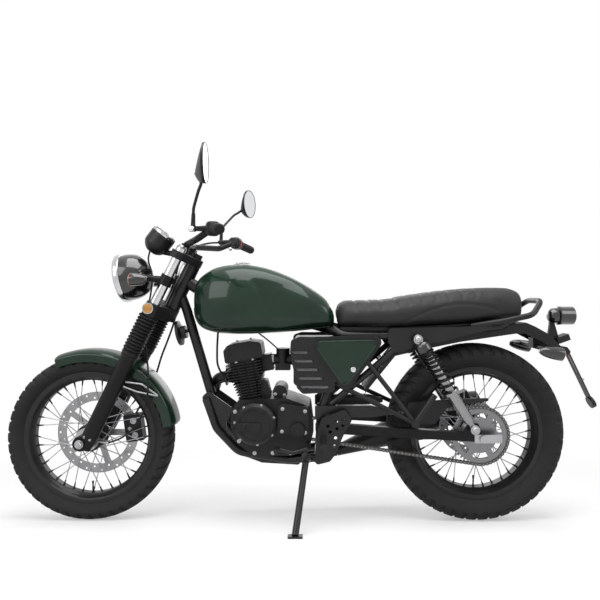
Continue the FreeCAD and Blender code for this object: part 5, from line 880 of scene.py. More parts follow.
def bullet(at, direction, radius, length):
    """An indicator's shell: a quarter ellipse from its open end back to a small tail."""
    share = np.linspace(0, 1, 14)
    curve = radius * np.sqrt(1 - (share * 0.97) ** 2.4)
    return lathe([(0.0, radius * 0.8), *zip(-share * length, curve)], at, direction, 40)


def bullet_lens(at, direction, radius):
    """Its lens: a shallow dome whose section is a quarter ellipse."""
    share = np.linspace(0, 1, 8)
    dome = zip(0.001 + 0.006 * share, radius * 0.93 * np.sqrt(1 - (share * 0.98) ** 2))
    return lathe([(-0.004, radius * 0.93), *dome], at, direction, 40)


def mirror_parts(side, x, turn, y, z):
    """The mirror's shell, its rim and the glass. The shell's rows go from the round rim to a small ring that
    lies lower and further inward, their radius and middle following a quarter sine between the two."""
    a = math.radians(turn)
    c, n = math.cos(a), -side * math.sin(a)
    face = np.array([c, n, 0.0])
    head = np.array([x, side * y, z])
    r = 0.058
    share = np.linspace(0, 1, 16)[:, None]
    bend = 1 - np.cos(share * math.pi / 2)
    turns = full_turn(72)[None]
    radius = r + (0.0115 - r) * (0.35 * bend + 0.65 * share)
    local_x = -0.007 - 0.025 * share + 0 * turns
    local_y = radius * np.cos(turns) - side * 0.014 * share
    local_z = radius * np.sin(turns) - 0.026 * share
    cone = np.stack([local_x * c - local_y * n, local_x * n + local_y * c, local_z], -1) + head
    shell = sleeve(cone)
    collar = lathe(
        [(-0.0075, r * 0.995), (-0.001, r * 0.998), (0.0, r * 0.985), (-0.0004, r * 0.955), (-0.002, r * 0.95)],
        head, face, 72,
    )
    rim = joined([shell, collar])
    glass = lathe([(-0.0025, r * 0.96), (-0.0012, r * 0.955), (-0.001, 0.002)], head, face, 72)
    tip = head + np.array([-0.032 * c + side * 0.014 * n, -0.032 * n - side * 0.014 * c, -0.026])
    return rim, glass, tip


def reflector_parts():
    """The round side reflectors: a pressed ring and a lens that is a very flat dome."""
    at = np.array([-0.445, 0.112, 0.744])
    r = 0.0189
    ring = lathe(
        [
            (0.0, r * 0.9), (0.0, r * 0.97), (0.0015, r), (0.0058, r), (0.0068, r * 0.97), (0.0068, r * 0.86),
            (0.0052, r * 0.84),
        ],
        at, RIGHT, 64,
    )
    face = lathe(
        [(0.0008, r * 0.86), (0.0056, r * 0.86), (0.0062, r * 0.7), (0.0066, r * 0.35), (0.0067, r * 0.04)],
        at, RIGHT, 64,
    )
    return ring, face


def tail_lamp_parts():
    """The tail lamp's barrel, stepped and closing to the front in a dome, and its red lens behind the rim."""
    at = np.array([1.03, 0.0, 0.715])
    r = 0.0335
    barrel = lathe(
        [
            (0.006, r * 0.9), (0.003, r * 0.95), (0.006, r * 0.975), (0.044, r * 0.975), (0.046, r), (0.055, r),
            (0.057, r * 0.93), (0.059, r * 0.82), (0.07, r * 0.8), (0.081, r * 0.72), (0.0875, r * 0.54),
            (0.0895, r * 0.3), (0.09, r * 0.1),
        ],
        at, AHEAD, 72,
    )
    line = [(0.01, r * 0.9), (0.003, r * 0.9), (0.0008, r * 0.86), (0.0, r * 0.7), (0.0, r * 0.1)]
    return barrel, lathe(line, at, AHEAD, 72)


class MOTORCYCLE_OT_fork(bpy.types.Operator):
    """The rubber gaiters of both legs"""

    bl_idname = "motorcycle.fork"
    bl_label = "Fork"

    def execute(self, context):
        add_piece("fork", "gaiters", both(gaiter()), "rubber", "fork_gaiters", sharp=0)
        return {"FINISHED"}


class MOTORCYCLE_OT_lamps(bpy.types.Operator):
    """Headlight, indicators and the tail lamp"""

    bl_idname = "motorcycle.lamps"
    bl_label = "Lamps"

    def execute(self, context):
        bowl, rim, glass, dish, bulb = headlight_parts()
        add_pieces(
            "fork",
            ("headlight_bowl", bowl, "gloss_black", "headlight"),
            ("headlight_rim", rim, "chrome"),
            ("headlight_glass", glass, "clear_glass", "headlight_lens"),
            ("headlight_dish", dish, "chrome"),
            ("headlight_bulb", bulb, "clear_glass"),
        )
        at = np.array([-0.498, 0.13, 0.84])
        add_pieces(
            "fork",
            ("front_indicator_shells", both(bullet(at, AHEAD, 0.0215, 0.056)), "gloss_black", "front_indicators"),
            ("front_indicator_lenses", both(bullet_lens(at, AHEAD, 0.0215)), "amber_lens"),
        )
        ring, face = reflector_parts()
        add_pieces(
            "fork",
            ("reflector_rings", both(ring), "chrome"),
            ("reflector_faces", both(face), "amber_reflector"),
        )
        at = np.array([0.928, 0.137, 0.592])
        rear = (math.cos(math.radians(10)), 0.0, -math.sin(math.radians(10)))
        add_pieces(
            "chassis",
            ("rear_indicator_shells", both(bullet(at, rear, 0.0218, 0.076)), "gloss_black", "rear_indicators"),
            ("rear_indicator_lenses", both(bullet_lens(at, rear, 0.0216)), "amber_lens"),
        )
        barrel, red = tail_lamp_parts()
        add_pieces(
            "chassis",
            ("tail_barrel", barrel, "gloss_black", "tail_light"),
            ("tail_lens", red, "red_lens"),
        )
        return {"FINISHED"}


MIRROR_BOOT = [(0, 0.0085), (0.012, 0.0088), (0.014, 0.0072), (0.03, 0.0066), (0.046, 0.0062), (0.052, 0.005)]


class MOTORCYCLE_OT_mirrors(bpy.types.Operator):
    """Round mirrors in tapered shells, with silvered glass, on bent rods"""

    bl_idname = "motorcycle.mirrors"
    bl_label = "Mirrors"

    def execute(self, context):
        shells, glasses, rods, boots = [], [], [], []
        for side, x, turn in ((-1, -0.201, 3.0), (1, -0.16, 18.0)):
            shell, glass, tip = mirror_parts(side, x, turn, 0.362, 1.17)
            shells.append(shell)
            glasses.append(glass)
            base = np.array([-0.264, side * 0.25, 0.99])
            route = [base, base + (0.0005, side * 0.0005, 0.03), base + (0.002, side * 0.002, 0.054),
                     (-0.258, side * 0.262, 1.06), (-0.236, side * 0.305, 1.098), (-0.222, side * 0.33, 1.119),
                     (tip + np.array([-0.222, side * 0.33, 1.119])) / 2 + [0, 0, -0.001], tip]
            rods.append(tube(smooth_line(route, 80), 0.0048, 14))
            boots.append(lathe(MIRROR_BOOT, base, (0.04, side * 0.04, 1.0), 20))
        add_piece("fork", "mirror_shells", joined(shells), "black_plastic", "mirrors", sharp=50)
        add_pieces(
            "fork",
            ("mirror_glass", joined(glasses), "mirror_glass"),
            ("mirror_rods", joined(rods), "dark_steel"),
            ("mirror_boots", joined(boots), "rubber"),
        )
        return {"FINISHED"}


# Shocks, chain and engine

SHOCK_TOP = np.array([0.453, 0.131, 0.642])
SHOCK_FOOT = np.array([0.641, 0.131, 0.344])
CHAIN_Y = -0.078
LINK = 0.0127
REAR_TEETH = 48
FRONT_TEETH = 15
FRONT_SPROCKET = np.array([0.055, CHAIN_Y, 0.335])


def shock_axes():
    """The line down the damper, two directions square to it, and the length between the eyes."""
    along = SHOCK_FOOT - SHOCK_TOP
    length = float(np.linalg.norm(along))
    along = along / length
    return along, np.array([0.0, 1.0, 0.0]), np.cross(along, RIGHT), length


def shock_spring():
    """A coil whose pitch grows downwards: at turn t of n it has come (t / 2 + t t / (2 n - 2)) of its mean pitch."""
    along, a, b, length = shock_axes()
    start, end, coils = length * 0.125, length * 0.575, 10.0
    t = np.linspace(0, coils, 460)
    share = t / 2 + t * t / (2 * coils - 2)
    travel = start + (end - start) * share / share[-1]
    radius = 0.0242
    turn = t * TAU
    line = SHOCK_TOP + travel[:, None] * along + radius * (np.cos(turn)[:, None] * a + np.sin(turn)[:, None] * b)
    return tube(line, 0.0036, 10)


def shock_bodies():
    """The turned pieces: a domed top cover, the spring's seats, the damper with its collar, and the rod."""
    along, _, _, length = shock_axes()
    dome = lathe(
        [
            (0.012, 0.009), (0.013, 0.017), (0.018, 0.0235), (0.026, 0.0268), (0.04, 0.0276), (0.0445, 0.0276),
            (0.0445, 0.02),
        ],
        SHOCK_TOP, along, 48,
    )
    body = lathe([(0.044, 0.0165), (length * 0.57, 0.0165), (length * 0.57, 0.0268), (length * 0.585, 0.0276),
                  (length * 0.6, 0.0268), (length * 0.605, 0.018), (length * 0.86, 0.018), (length * 0.87, 0.0172),
                  (length * 0.9, 0.0172), (length * 0.935, 0.0105), (length * 0.97, 0.0098)], SHOCK_TOP, along, 48)
    return dome, body


def shock_eyes():
    """Both eyes: a ring with a rubber bush, and the nut with its washer outside."""
    ring = [(-0.011, 0.0105), (-0.011, 0.0142), (-0.01, 0.015), (0.01, 0.015), (0.011, 0.0142), (0.011, 0.0105)]
    bush = [(-0.0113, 0.0062), (-0.0113, 0.0105), (0.0113, 0.0105), (0.0113, 0.0062)]
    nut = [
        (0.0115, 0.004), (0.0115, 0.0152), (0.013, 0.0158), (0.0142, 0.015), (0.015, 0.011), (0.0178, 0.01),
        (0.0196, 0.0072), (0.0204, 0.0035), (0.0205, 0.0005),
    ]
    for line, sides in ((ring, 36), (bush, 30), (nut, 36)):
        yield joined([lathe(line, at, RIGHT, sides) for at in (SHOCK_TOP, SHOCK_FOOT)])


def chain_places():
    """Pins a pitch apart on the loop: two arcs about the sprockets and the two straight runs that touch both."""
    big = LINK / (2 * math.sin(math.pi / REAR_TEETH))
    small = LINK / (2 * math.sin(math.pi / FRONT_TEETH))
    rear, front = REAR_HUB[[0, 2]], FRONT_SPROCKET[[0, 2]]
    line = front - rear
    aim = math.atan2(line[1], line[0])
    spread = math.acos((big - small) / float(np.linalg.norm(line)))
    turn = np.linspace(aim + spread, aim + TAU - spread, 200)
    back = rear + big * np.stack([np.cos(turn), np.sin(turn)], -1)
    turn = np.linspace(aim - spread, aim + spread, 90)
    ahead = front + small * np.stack([np.cos(turn), np.sin(turn)], -1)
    loop = np.concatenate([back, ahead, back[:1]])
    length = np.concatenate([[0], np.cumsum(np.linalg.norm(np.diff(loop, axis=0), axis=1))])
    count = int(round(length[-1] / LINK / 2)) * 2
    at = np.arange(count + 1) / count * length[-1]
    return np.stack([np.interp(at, length, loop[:, 0]), np.interp(at, length, loop[:, 1])], -1)


def link_plate(width, radius):
    """One side plate: two round ends a pitch apart with a waist between them, and its thickness."""
    turn = np.linspace(-math.pi * 0.62, math.pi * 0.62, 9)
    right = np.stack([LINK / 2 + radius * np.cos(turn), radius * np.sin(turn)], -1)
    left = right * [-1, -1]
    outline = np.concatenate([right, [[0.0, radius * 0.74]], left, [[0.0, -radius * 0.74]]])
    rows = [np.stack([outline[:, 0], np.full(len(outline), y), outline[:, 1]], -1) for y in (-width / 2, width / 2)]
    return sleeve(np.stack(rows))


def chain_links():
    """Every link's two plates, inner and outer in turn, set between its pins, and a roller on every pin."""
    pins = chain_places()
    steps = np.diff(pins, axis=0)
    middle = (pins[:-1] + pins[1:]) / 2
    angle = np.arctan2(steps[:, 1], steps[:, 0])
    plates = []
    for first, y in ((0, 0.0038), (0, -0.0038), (1, 0.005), (1, -0.005)):
        v, f = link_plate(0.0011, 0.0056)
        k = np.arange(first, len(angle), 2)
        c, n = np.cos(angle[k])[:, None], np.sin(angle[k])[:, None]
        x = c * v[None, :, 0] - n * v[None, :, 2] + middle[k, 0][:, None]
        z = n * v[None, :, 0] + c * v[None, :, 2] + middle[k, 1][:, None]
        ys = np.broadcast_to(v[None, :, 1] + CHAIN_Y + y, x.shape)
        faces = [[i + q * len(v) for i in face] for q in range(len(k)) for face in f]
        plates.append((np.stack([x, ys, z], -1).reshape(-1, 3), faces))
    pin = [(-0.0059, 0.0016), (-0.0056, 0.0021), (0.0056, 0.0021), (0.0059, 0.0016)]
    places = [(x, CHAIN_Y, z) for x, z in pins[:-1]]
    rollers = [lathe([(-0.0032, 0.0042), (0.0032, 0.0042)], at, RIGHT, 8) for at in places]
    return joined(plates), joined(rollers + [lathe(pin, at, RIGHT, 8) for at in places])


def bolt(at, direction, radius=0.0048, height=0.0045):
    """A cap screw: a washer, a head with a chamfer and a sunk socket."""
    return lathe(
        [
            (-0.0005, radius * 1.5), (0.0006, radius * 1.5), (0.0007, radius), (height - 0.0006, radius),
            (height, radius * 0.86), (height, radius * 0.52), (height * 0.45, radius * 0.5),
            (height * 0.45, radius * 0.05),
        ],
        at, direction, 18,
    )


def bolt_ring(x, y, z, radius, count, start, direction, size=0.0046):
    """Screws at equal turns on a circle about a line along Y."""
    places = [(x + radius * math.cos(t), y, z + radius * math.sin(t)) for t in start + full_turn(count)]
    return [bolt(at, direction, size) for at in places]


# Y, radius and places (X, Z) of the single screws on the crankcase
CASE_SCREWS = (
    (-0.1035, 0.0042, ((0.004, 0.406), (0.08, 0.398), (0.08, 0.326), (0.002, 0.33))),
    (-0.0835, 0.0046, ((-0.158, 0.392), (-0.145, 0.292), (-0.092, 0.251), (-0.03, 0.252), (0.03, 0.252))),
    (-0.0515, 0.004, ((-0.024, 0.446), (0.008, 0.442))),
    (0.0835, 0.0046, ((-0.158, 0.392), (-0.145, 0.292), (0.088, 0.3), (0.08, 0.4))),
)


def engine_bolts():
    """Screws round both covers, along the sprocket cover, at the starter and on the crankcase's lower edge."""
    out = bolt_ring(-0.087, -0.1195, 0.357, 0.0655, 7, 0.35, LEFT, 0.004)
    out += bolt_ring(-0.037, 0.1275, 0.357, 0.0605, 8, 0.2, RIGHT)
    for y, size, places in CASE_SCREWS:
        out += [bolt((x, y, z), RIGHT if y > 0 else LEFT, size) for x, z in places]
    return joined(out)


def cylinder_place(points):
    """From the cylinder's own frame, tilted 10 degrees forward, to the machine's."""
    a = math.radians(-10)
    q = np.asarray(points, float)
    x = q[..., 0] * math.cos(a) + q[..., 2] * math.sin(a) - 0.101
    z = -q[..., 0] * math.sin(a) + q[..., 2] * math.cos(a) + 0.427
    return np.stack([x, q[..., 1], z], -1)


def head_bolts():
    """Screws down the head cover's edge, the nuts in the stud channels, and two screws at its front."""
    up = cylinder_place([0, 0, 1.0]) - cylinder_place([0, 0, 0.0])
    out = [bolt(cylinder_place([x, y, 0.201]), up, 0.0044) for x in (-0.034, 0.016) for y in (-0.046, 0.046)]
    out += [bolt(cylinder_place([x, y, 0.1365]), up, 0.0052) for x in (-0.033, 0.025) for y in (-0.0595, 0.0595)]
    ahead = cylinder_place([-1.0, 0, 0]) - cylinder_place([0, 0, 0])
    out += [bolt(cylinder_place([-0.071, y, 0.165]), ahead, 0.0044) for y in (-0.038, 0.038)]
    return joined(out)


def cover_rings():
    """On the engine's covers: a raised ring with sloped edges, two turned plugs and the oil filler's cap."""
    ring = lathe([(0, 0.0545), (0.0018, 0.0535), (0.0018, 0.0505), (0, 0.0495)], (-0.087, -0.128, 0.357), LEFT, 72)
    plug = lathe(
        [(0.0, 0.0135), (0.0062, 0.013), (0.0072, 0.0115), (0.0072, 0.006), (0.0052, 0.0055), (0.0052, 0.001)],
        (-0.112, -0.1275, 0.352), LEFT, 32,
    )
    boss = lathe(
        [(0.0, 0.024), (0.003, 0.0235), (0.0042, 0.02), (0.0042, 0.012), (0.0025, 0.0115), (0.0025, 0.001)],
        (0.055, -0.1135, 0.335), LEFT, 40,
    )
    filler = lathe([(0.0, 0.0165), (0.01, 0.016), (0.012, 0.014), (0.012, 0.002)], (0.0, 0.1275, 0.385), RIGHT, 10)
    return joined([ring, plug, boss, filler])


def hose_clips():
    """Clamp bands round the intake's rubber, each with its screw."""
    band = [(-0.004, 0.0196), (-0.004, 0.0212), (0.004, 0.0212), (0.004, 0.0196)]
    parts = []
    for x in (-0.036, 0.036):
        parts += [lathe(band, (x, 0.0, 0.56), (1, 0, 0), 40), bolt((x, -0.017, 0.5735), LEFT, 0.0032)]
    return joined(parts)


class MOTORCYCLE_OT_shocks(bpy.types.Operator):
    """Rear suspension units with open coils"""

    bl_idname = "motorcycle.shocks"
    bl_label = "Shocks"

    def execute(self, context):
        dome, body = shock_bodies()
        rings, bushes, nuts = shock_eyes()
        add_pieces(
            "chassis",
            ("shock_dampers", both(body), "damper_grey", "shocks"),
            ("shock_springs", both(shock_spring()), "spring_black"),
            ("shock_domes", both(dome), "gloss_black"),
            ("shock_eyes", both(rings), "damper_grey"),
            ("shock_bushes", both(bushes), "rubber"),
            ("shock_nuts", both(nuts), "bright_steel"),
        )
        return {"FINISHED"}


class MOTORCYCLE_OT_chain(bpy.types.Operator):
    """The chain's plates, rollers and pins"""

    bl_idname = "motorcycle.chain"
    bl_label = "Chain"

    def execute(self, context):
        plates, rollers = chain_links()
        add_piece("chassis", "chain_plates", plates, "chain_steel", "chain", sharp=30)
        add_piece("chassis", "chain_rollers", rollers, "damper_grey")
        return {"FINISHED"}


class MOTORCYCLE_OT_engine(bpy.types.Operator):
    """Screws, cover lines, plugs and clamp bands on the engine"""

    bl_idname = "motorcycle.engine"
    bl_label = "Engine details"

    def execute(self, context):
        add_pieces(
            "chassis",
            ("engine_screws", engine_bolts(), "bright_steel"),
            ("head_screws", head_bolts(), "bright_steel"),
            ("cover_lines", cover_rings(), "engine_black"),
            ("intake_clips", hose_clips(), "bright_steel"),
        )
        return {"FINISHED"}


# Handlebar, levers and instrument

BAR_HEEL = np.array([-0.208, 0.236, 0.996])
BAR_END = np.array([-0.16, 0.38, 0.978])
INWARD = unit(BAR_HEEL - BAR_END)
# The switches' housing starts 122 mm from the bar's end and is 44 mm long; the lever stands at 0.7 of that.
LEVER_ROOT = BAR_END + INWARD * (0.122 + 0.044 * 0.7)
LEVER_PIVOT = LEVER_ROOT + [-0.0546, 0, 0]


def grip():
    """A rubber grip: rings of ribs, each a rounded wave, between a domed end and a collar."""
    start = BAR_END - INWARD * 0.008
    t = np.linspace(0.012, 0.112, 201)
    wave = np.abs(np.sin(t * math.pi / 0.005)) ** 0.7
    radius = 0.0149 + 0.0013 * wave
    line = [(0.0, 0.008), (0.0008, 0.0128), (0.003, 0.0152), (0.009, 0.0163), (0.0105, 0.015), *zip(t, radius),
            (0.114, 0.0163), (0.117, 0.02), (0.124, 0.0205), (0.128, 0.019), (0.1295, 0.013)]
    return lathe(line, start, INWARD, 40)


def pod(start, direction, rows, power=3.2, sides=48):
    """A moulded housing: superellipse sections, cosine and sine both raised to two over the power, along a line.
    Rows are (distance, half width, half height)."""
    d = unit(direction)
    a = unit(np.cross(UP, d))
    b = np.cross(d, a)
    rows = np.asarray(rows, float)
    turn = full_turn(sides)
    c = np.sign(np.cos(turn)) * np.abs(np.cos(turn)) ** (2 / power)
    n = np.sign(np.sin(turn)) * np.abs(np.sin(turn)) ** (2 / power)
    points = np.asarray(start, float) + rows[:, 0, None, None] * d
    points = points + rows[:, 1, None, None] * c[None, :, None] * a + rows[:, 2, None, None] * n[None, :, None] * b
    return sleeve(points)


def switch_housing():
    """The switches' housing: two moulded halves with a groove between them."""
    start = BAR_END + INWARD * 0.1215
    return pod(
        start, INWARD,
        [
            (0.0, 0.015, 0.015), (0.0008, 0.0195, 0.0215), (0.003, 0.021, 0.0232), (0.026, 0.021, 0.0232),
            (0.0285, 0.019, 0.0205), (0.029, 0.015, 0.016), (0.0302, 0.015, 0.016), (0.0306, 0.018, 0.0195),
            (0.041, 0.0175, 0.019), (0.0435, 0.0155, 0.017), (0.0438, 0.012, 0.012),
        ],
    )


def lever():
    """A cast lever: a flattened bar that thins towards its end, with a bend at the perch and a ball tip."""
    perch = LEVER_PIVOT
    tip = BAR_END + INWARD * 0.0165 + [-0.078, 0, 0]
    middle = perch + (tip - perch) * 0.45 + [-0.004, 0, 0.0005]
    elbow = perch + (tip - perch) * 0.15 + [-0.003, 0, 0]
    line = smooth_line([perch + [0.01, -0.004, 0], perch, elbow, middle, tip], 50)
    blade = tube(line, np.linspace(0.0062, 0.0042, 50), 16, flat=0.72)
    t = np.linspace(0, math.pi, 11)
    ball = lathe([(-0.0088 * math.cos(a), max(0.0088 * math.sin(a), 0.0004)) for a in t], tip, tip - middle, 20)
    return joined([blade, ball])


def lever_perch():
    """The clamp round the bar and the arm that carries the lever's pivot."""
    ring = lathe(
        [(-0.008, 0.0112), (-0.008, 0.0165), (-0.006, 0.0175), (0.006, 0.0175), (0.008, 0.0165), (0.008, 0.0112)],
        LEVER_ROOT + INWARD * 0.012, INWARD, 36,
    )
    arm = pod(
        LEVER_ROOT + INWARD * 0.008 + [-0.01, 0, 0], AHEAD,
        [
            (0.0, 0.0085, 0.0085), (0.004, 0.0105, 0.01), (0.03, 0.01, 0.008), (0.044, 0.0105, 0.0075),
            (0.05, 0.0085, 0.006),
        ],
        2.6, 32,
    )
    pin = lathe([(-0.0095, 0.003), (-0.009, 0.005), (0.009, 0.005), (0.0095, 0.003)], LEVER_PIVOT, UP, 20)
    return joined([ring, arm, pin])


def buttons():
    """Two thumb buttons on the rear of a housing."""
    at = BAR_END + INWARD * 0.136
    parts = []
    for shift, r, h in (((0.0195, 0.0, 0.004), 0.005, 0.004), ((0.019, -0.009, -0.009), 0.0042, 0.0036)):
        line = [(-0.002, r), (h - 0.001, r), (h, r * 0.8), (h, r * 0.1)]
        parts.append(lathe(line, at + np.array(shift), (1, 0, 0.1), 20))
    return joined(parts)


def instrument_parts():
    """The round clock: a shell that narrows downwards, a rolled rim, flat glass, a dial and its ring of ticks."""
    a = math.radians(38.0)
    up = np.array([math.sin(a), 0.0, math.cos(a)])
    at = np.array([-0.417, 0.0, 1.008])
    r = 0.046
    shell = lathe(
        [
            (-0.003, r * 0.95), (-0.006, r * 0.985), (-0.012, r * 0.99), (-0.05, r * 0.985), (-0.058, r * 0.96),
            (-0.066, r * 0.86), (-0.075, r * 0.7), (-0.081, r * 0.52), (-0.084, r * 0.38), (-0.084, r * 0.05),
        ],
        at, up, 72,
    )
    rim = lathe(
        [
            (-0.01, r * 0.985), (-0.008, r), (-0.002, r), (0.0, r * 0.985), (0.0, r * 0.93), (-0.003, r * 0.9),
            (-0.006, r * 0.9),
        ],
        at, up, 72,
    )
    glass = lathe([(-0.0045, r * 0.905), (-0.0028, r * 0.905), (-0.0022, r * 0.5), (-0.002, r * 0.03)], at, up, 72)
    dial = lathe([(-0.01, r * 0.9), (-0.0095, r * 0.9), (-0.0095, r * 0.03)], at, up, 72)
    side = np.array([0.0, 1.0, 0.0])
    fore = np.cross(side, up)
    ticks = []
    for k in range(25):
        t = math.radians(-132 + k * 11)
        out = math.cos(t) * -fore + math.sin(t) * side
        long = 0.0052 if k % 4 == 0 else 0.0028
        base = at - up * 0.0091
        ticks.append(bar(base + out * (0.0385 - long), base + out * 0.0385, 0.0005 if k % 4 else 0.0008, 6))
    t = math.radians(-120)
    out = math.cos(t) * -fore + math.sin(t) * side
    pivot = at - up * 0.0076
    needle = tube(np.stack([pivot - out * 0.006, pivot + out * 0.031]), np.array([0.0014, 0.0004]), 8)
    knob = lathe([(-0.0095, 0.0038), (-0.0066, 0.0036), (-0.0062, 0.0005)], at, up, 20)
    return shell, rim, glass, dial, joined(ticks), joined([needle, knob])


class MOTORCYCLE_OT_controls(bpy.types.Operator):
    """Grips, switch housings, levers and the clock"""

    bl_idname = "motorcycle.controls"
    bl_label = "Controls"

    def execute(self, context):
        add_piece("fork", "grips", both(grip()), "rubber", "hand_controls", sharp=0)
        add_pieces(
            "fork",
            ("switch_housings", both(switch_housing()), "black_plastic"),
            ("levers", both(lever()), "lever_alloy"),
            ("lever_perches", both(lever_perch()), "black_casting"),
            ("switch_buttons", both(buttons()), "red_plastic"),
        )
        shell, rim, glass, dial, ticks, needle = instrument_parts()
        add_pieces(
            "fork",
            ("clock_shell", shell, "black_plastic", "instrument"),
            ("clock_rim", rim, "chrome"),
            ("clock_glass", glass, "clear_glass"),
            ("clock_dial", dial, "black_plastic"),
            ("clock_ticks", ticks, "pale_mark"),
            ("clock_needle", needle, "red_plastic"),
        )
        return {"FINISHED"}


# Body details


def fork_details():
    """Dust seal rings on the sliding legs, the clamp screws of both yokes, and the fork's top caps."""
    parts = []
    for w, r, h in ((0.347, 0.0305, 0.006), (0.336, 0.0288, 0.004)):
        line = [(0, r - 0.003), (0, r), (h, r), (h, r - 0.003)]
        parts.append(lathe(line, at_fork(AXLE_LEAD, HALF_LEGS, w - 0.006), FORK_UP, 48))
    ahead = at_fork(-1.0, 0, 0) - at_fork(0.0, 0, 0)
    parts += [bolt(at_fork(AXLE_LEAD - 0.0255, HALF_LEGS - 0.014, w), ahead, 0.004) for w in (0.5, 0.518, 0.713)]
    line = [(0, 0.0172), (0.004, 0.0172), (0.005, 0.015), (0.011, 0.013), (0.012, 0.0115), (0.012, 0.001)]
    caps = lathe(line, at_fork(AXLE_LEAD, HALF_LEGS, 0.7375), FORK_UP, 24)
    return joined(parts), caps


def leg_screws():
    """The two pinch screws of an axle boss."""
    places = [at_fork(AXLE_LEAD + u, HALF_LEGS + 0.0245, 0.028) for u in (-0.01, 0.01)]
    return joined([bolt(at, RIGHT, 0.0032) for at in places])


def panel_trim():
    """Screws of the side panels and covers, and the lock below the panel's middle."""
    out = [bolt((x, 0.1338, z), RIGHT, 0.0038, 0.003) for x, z in ((0.12, 0.624), (0.316, 0.629), (0.212, 0.5))]
    out += [bolt((x, 0.1218, z), RIGHT, 0.0036, 0.003) for x, z in ((0.046, 0.607), (0.165, 0.64), (0.086, 0.474))]
    lock = lathe(
        [(-0.001, 0.0085), (0.0015, 0.0085), (0.0022, 0.0075), (0.0022, 0.003), (0.001, 0.0026), (0.001, 0.0004)],
        (0.24, -0.1338, 0.542), LEFT, 28,
    )
    return joined(out), lock


def slot_mesh():
    """Expanded metal behind the slots: two families of wires at 35 degrees either way, cut at each slot's ends.
    Each slot starts and ends further back than the one above it."""
    top, pitch, half, y, lean, step = 0.597, 0.0288, 0.0044, 0.1163, 0.0063, 0.0046
    wires = []
    for i in range(5):
        z = top - i * pitch
        start, end = 0.0365 + i * 0.007, 0.0915 + i * 0.017
        for shift in (lean / 2, -lean / 2):
            for x in np.arange(start + 0.0035, end - 0.0035, step):
                wires.append(bar([x - shift, y, z - half], [x + shift, y, z + half], 0.00055, 5))
    return joined(wires)


# Screws on each face of the front caliper: distance from the axle, shift square to that, and size
CALIPER_SCREWS = ((0.138, 0.026, 0.0075), (0.138, -0.026, 0.0075), (0.122, 0.0, 0.0045))


def caliper_screws():
    """Screws on both faces of the front caliper, along a line that rises 8 degrees to the axle's rear."""
    tilt = math.radians(8)
    out, along = np.array([math.cos(tilt), math.sin(tilt)]), np.array([-math.sin(tilt), math.cos(tilt)])
    screws = []
    for face in (1, -1):
        for reach, step, size in CALIPER_SCREWS:
            x, z = out * reach + along * step
            at = FRONT_HUB + np.array([x, FRONT_DISC_Y + face * 0.0198, z])
            screws.append(bolt(at, (0, face, 0), size, 0.005))
    return joined(screws)


def mudguard_shell():
    """The front mudguard: half its section is a smooth curve from skirt over shoulder to crest, thickened by
    its wall, and goes round the wheel from 22 degrees ahead of the top to 81 behind it; the lips at both
    ends turn in by a raised cosine over the last 2 degrees."""
    crest, half, skirt, wall = 0.31, 0.057, 0.042, 0.0018
    side = smooth_line(
        np.array(
            [
                (crest - skirt, half), (crest - skirt * 0.6, half), (crest - skirt * 0.34, half * 0.985),
                (crest - skirt * 0.14, half * 0.78), (crest - skirt * 0.02, half * 0.46), (crest, 0.0),
            ]
        ),
        28,
    )
    outer = np.concatenate([side, (side * [1, -1])[::-1][1:]])
    inner = outer * [1, (half - wall) / half] - [wall, 0]
    inner[0, 0], inner[-1, 0] = outer[0, 0], outer[-1, 0]
    loop = np.concatenate([outer, inner[::-1]])
    angle = np.radians(
        np.concatenate([np.linspace(-22, -20, 6), np.linspace(-19, 79, 99), np.linspace(79.5, 81, 5)])
    )[:, None]
    edge = np.minimum(np.degrees(angle) + 22, 81 - np.degrees(angle))
    tuck = 0.0025 * (0.5 + 0.5 * np.cos(np.pi * np.clip(edge / 2, 0, 1)))
    r = loop[None, :, 0] - tuck
    y = np.broadcast_to(loop[None, :, 1], r.shape)
    points = np.stack([FRONT_HUB[0] + r * np.sin(angle), y, FRONT_HUB[2] + r * np.cos(angle)], -1)
    return sleeve(points)


def mudguard_bridge():
    """The bar that carries the mudguard between the fork legs, with a washer and a nut on each side."""
    ends = [at_fork(AXLE_LEAD, side * 0.0655, 0.31) for side in (-1, 1)]
    nuts = [bolt(at_fork(AXLE_LEAD, side * 0.0582, 0.296), (0, side, 0), 0.0055, 0.004) for side in (-1, 1)]
    return bar(ends[0], ends[1], 0.009, 28), joined(nuts)


GUARD_LOOP = np.array(
    [
        (-0.536, -0.084, 0.494), (-0.478, -0.072, 0.484), (-0.424, -0.061, 0.44), (-0.498, -0.07, 0.458),
        (-0.538, -0.084, 0.478),
    ]
)


def rounded_corners(points, bend, steps=9):
    """Each inner corner is rounded by the quadratic curve (1 - t)(1 - t) a + 2 t (1 - t) b + t t c between
    points a bend's length before and after it."""
    t = np.linspace(0, 1, steps)[:, None]
    line = []
    for a, b, c in zip(points[:-2], points[1:-1], points[2:]):
        a = b + (a - b) / np.linalg.norm(a - b) * bend
        c = b + (c - b) / np.linalg.norm(c - b) * bend
        line.append((1 - t) ** 2 * a + 2 * t * (1 - t) * b + t ** 2 * c)
    return np.concatenate(line)


def guard_wire():
    """The bright wire of the front mudguard's stay."""
    line = np.concatenate([GUARD_LOOP[:1], rounded_corners(GUARD_LOOP, 0.01), GUARD_LOOP[-1:]])
    return tube(line, 0.0031, 12)


def panel_edge():
    """The rolled edge of the triangular side panel, a little inside its outline."""
    corners = np.array([(0.1055, 0.1338, 0.6335), (0.3285, 0.1338, 0.639), (0.212, 0.1338, 0.4835)])
    line = rounded_corners(np.concatenate([corners[-1:], corners, corners[:1]]), 0.03, 12)
    return tube(np.concatenate([line, line[:1]]), 0.0019, 10)


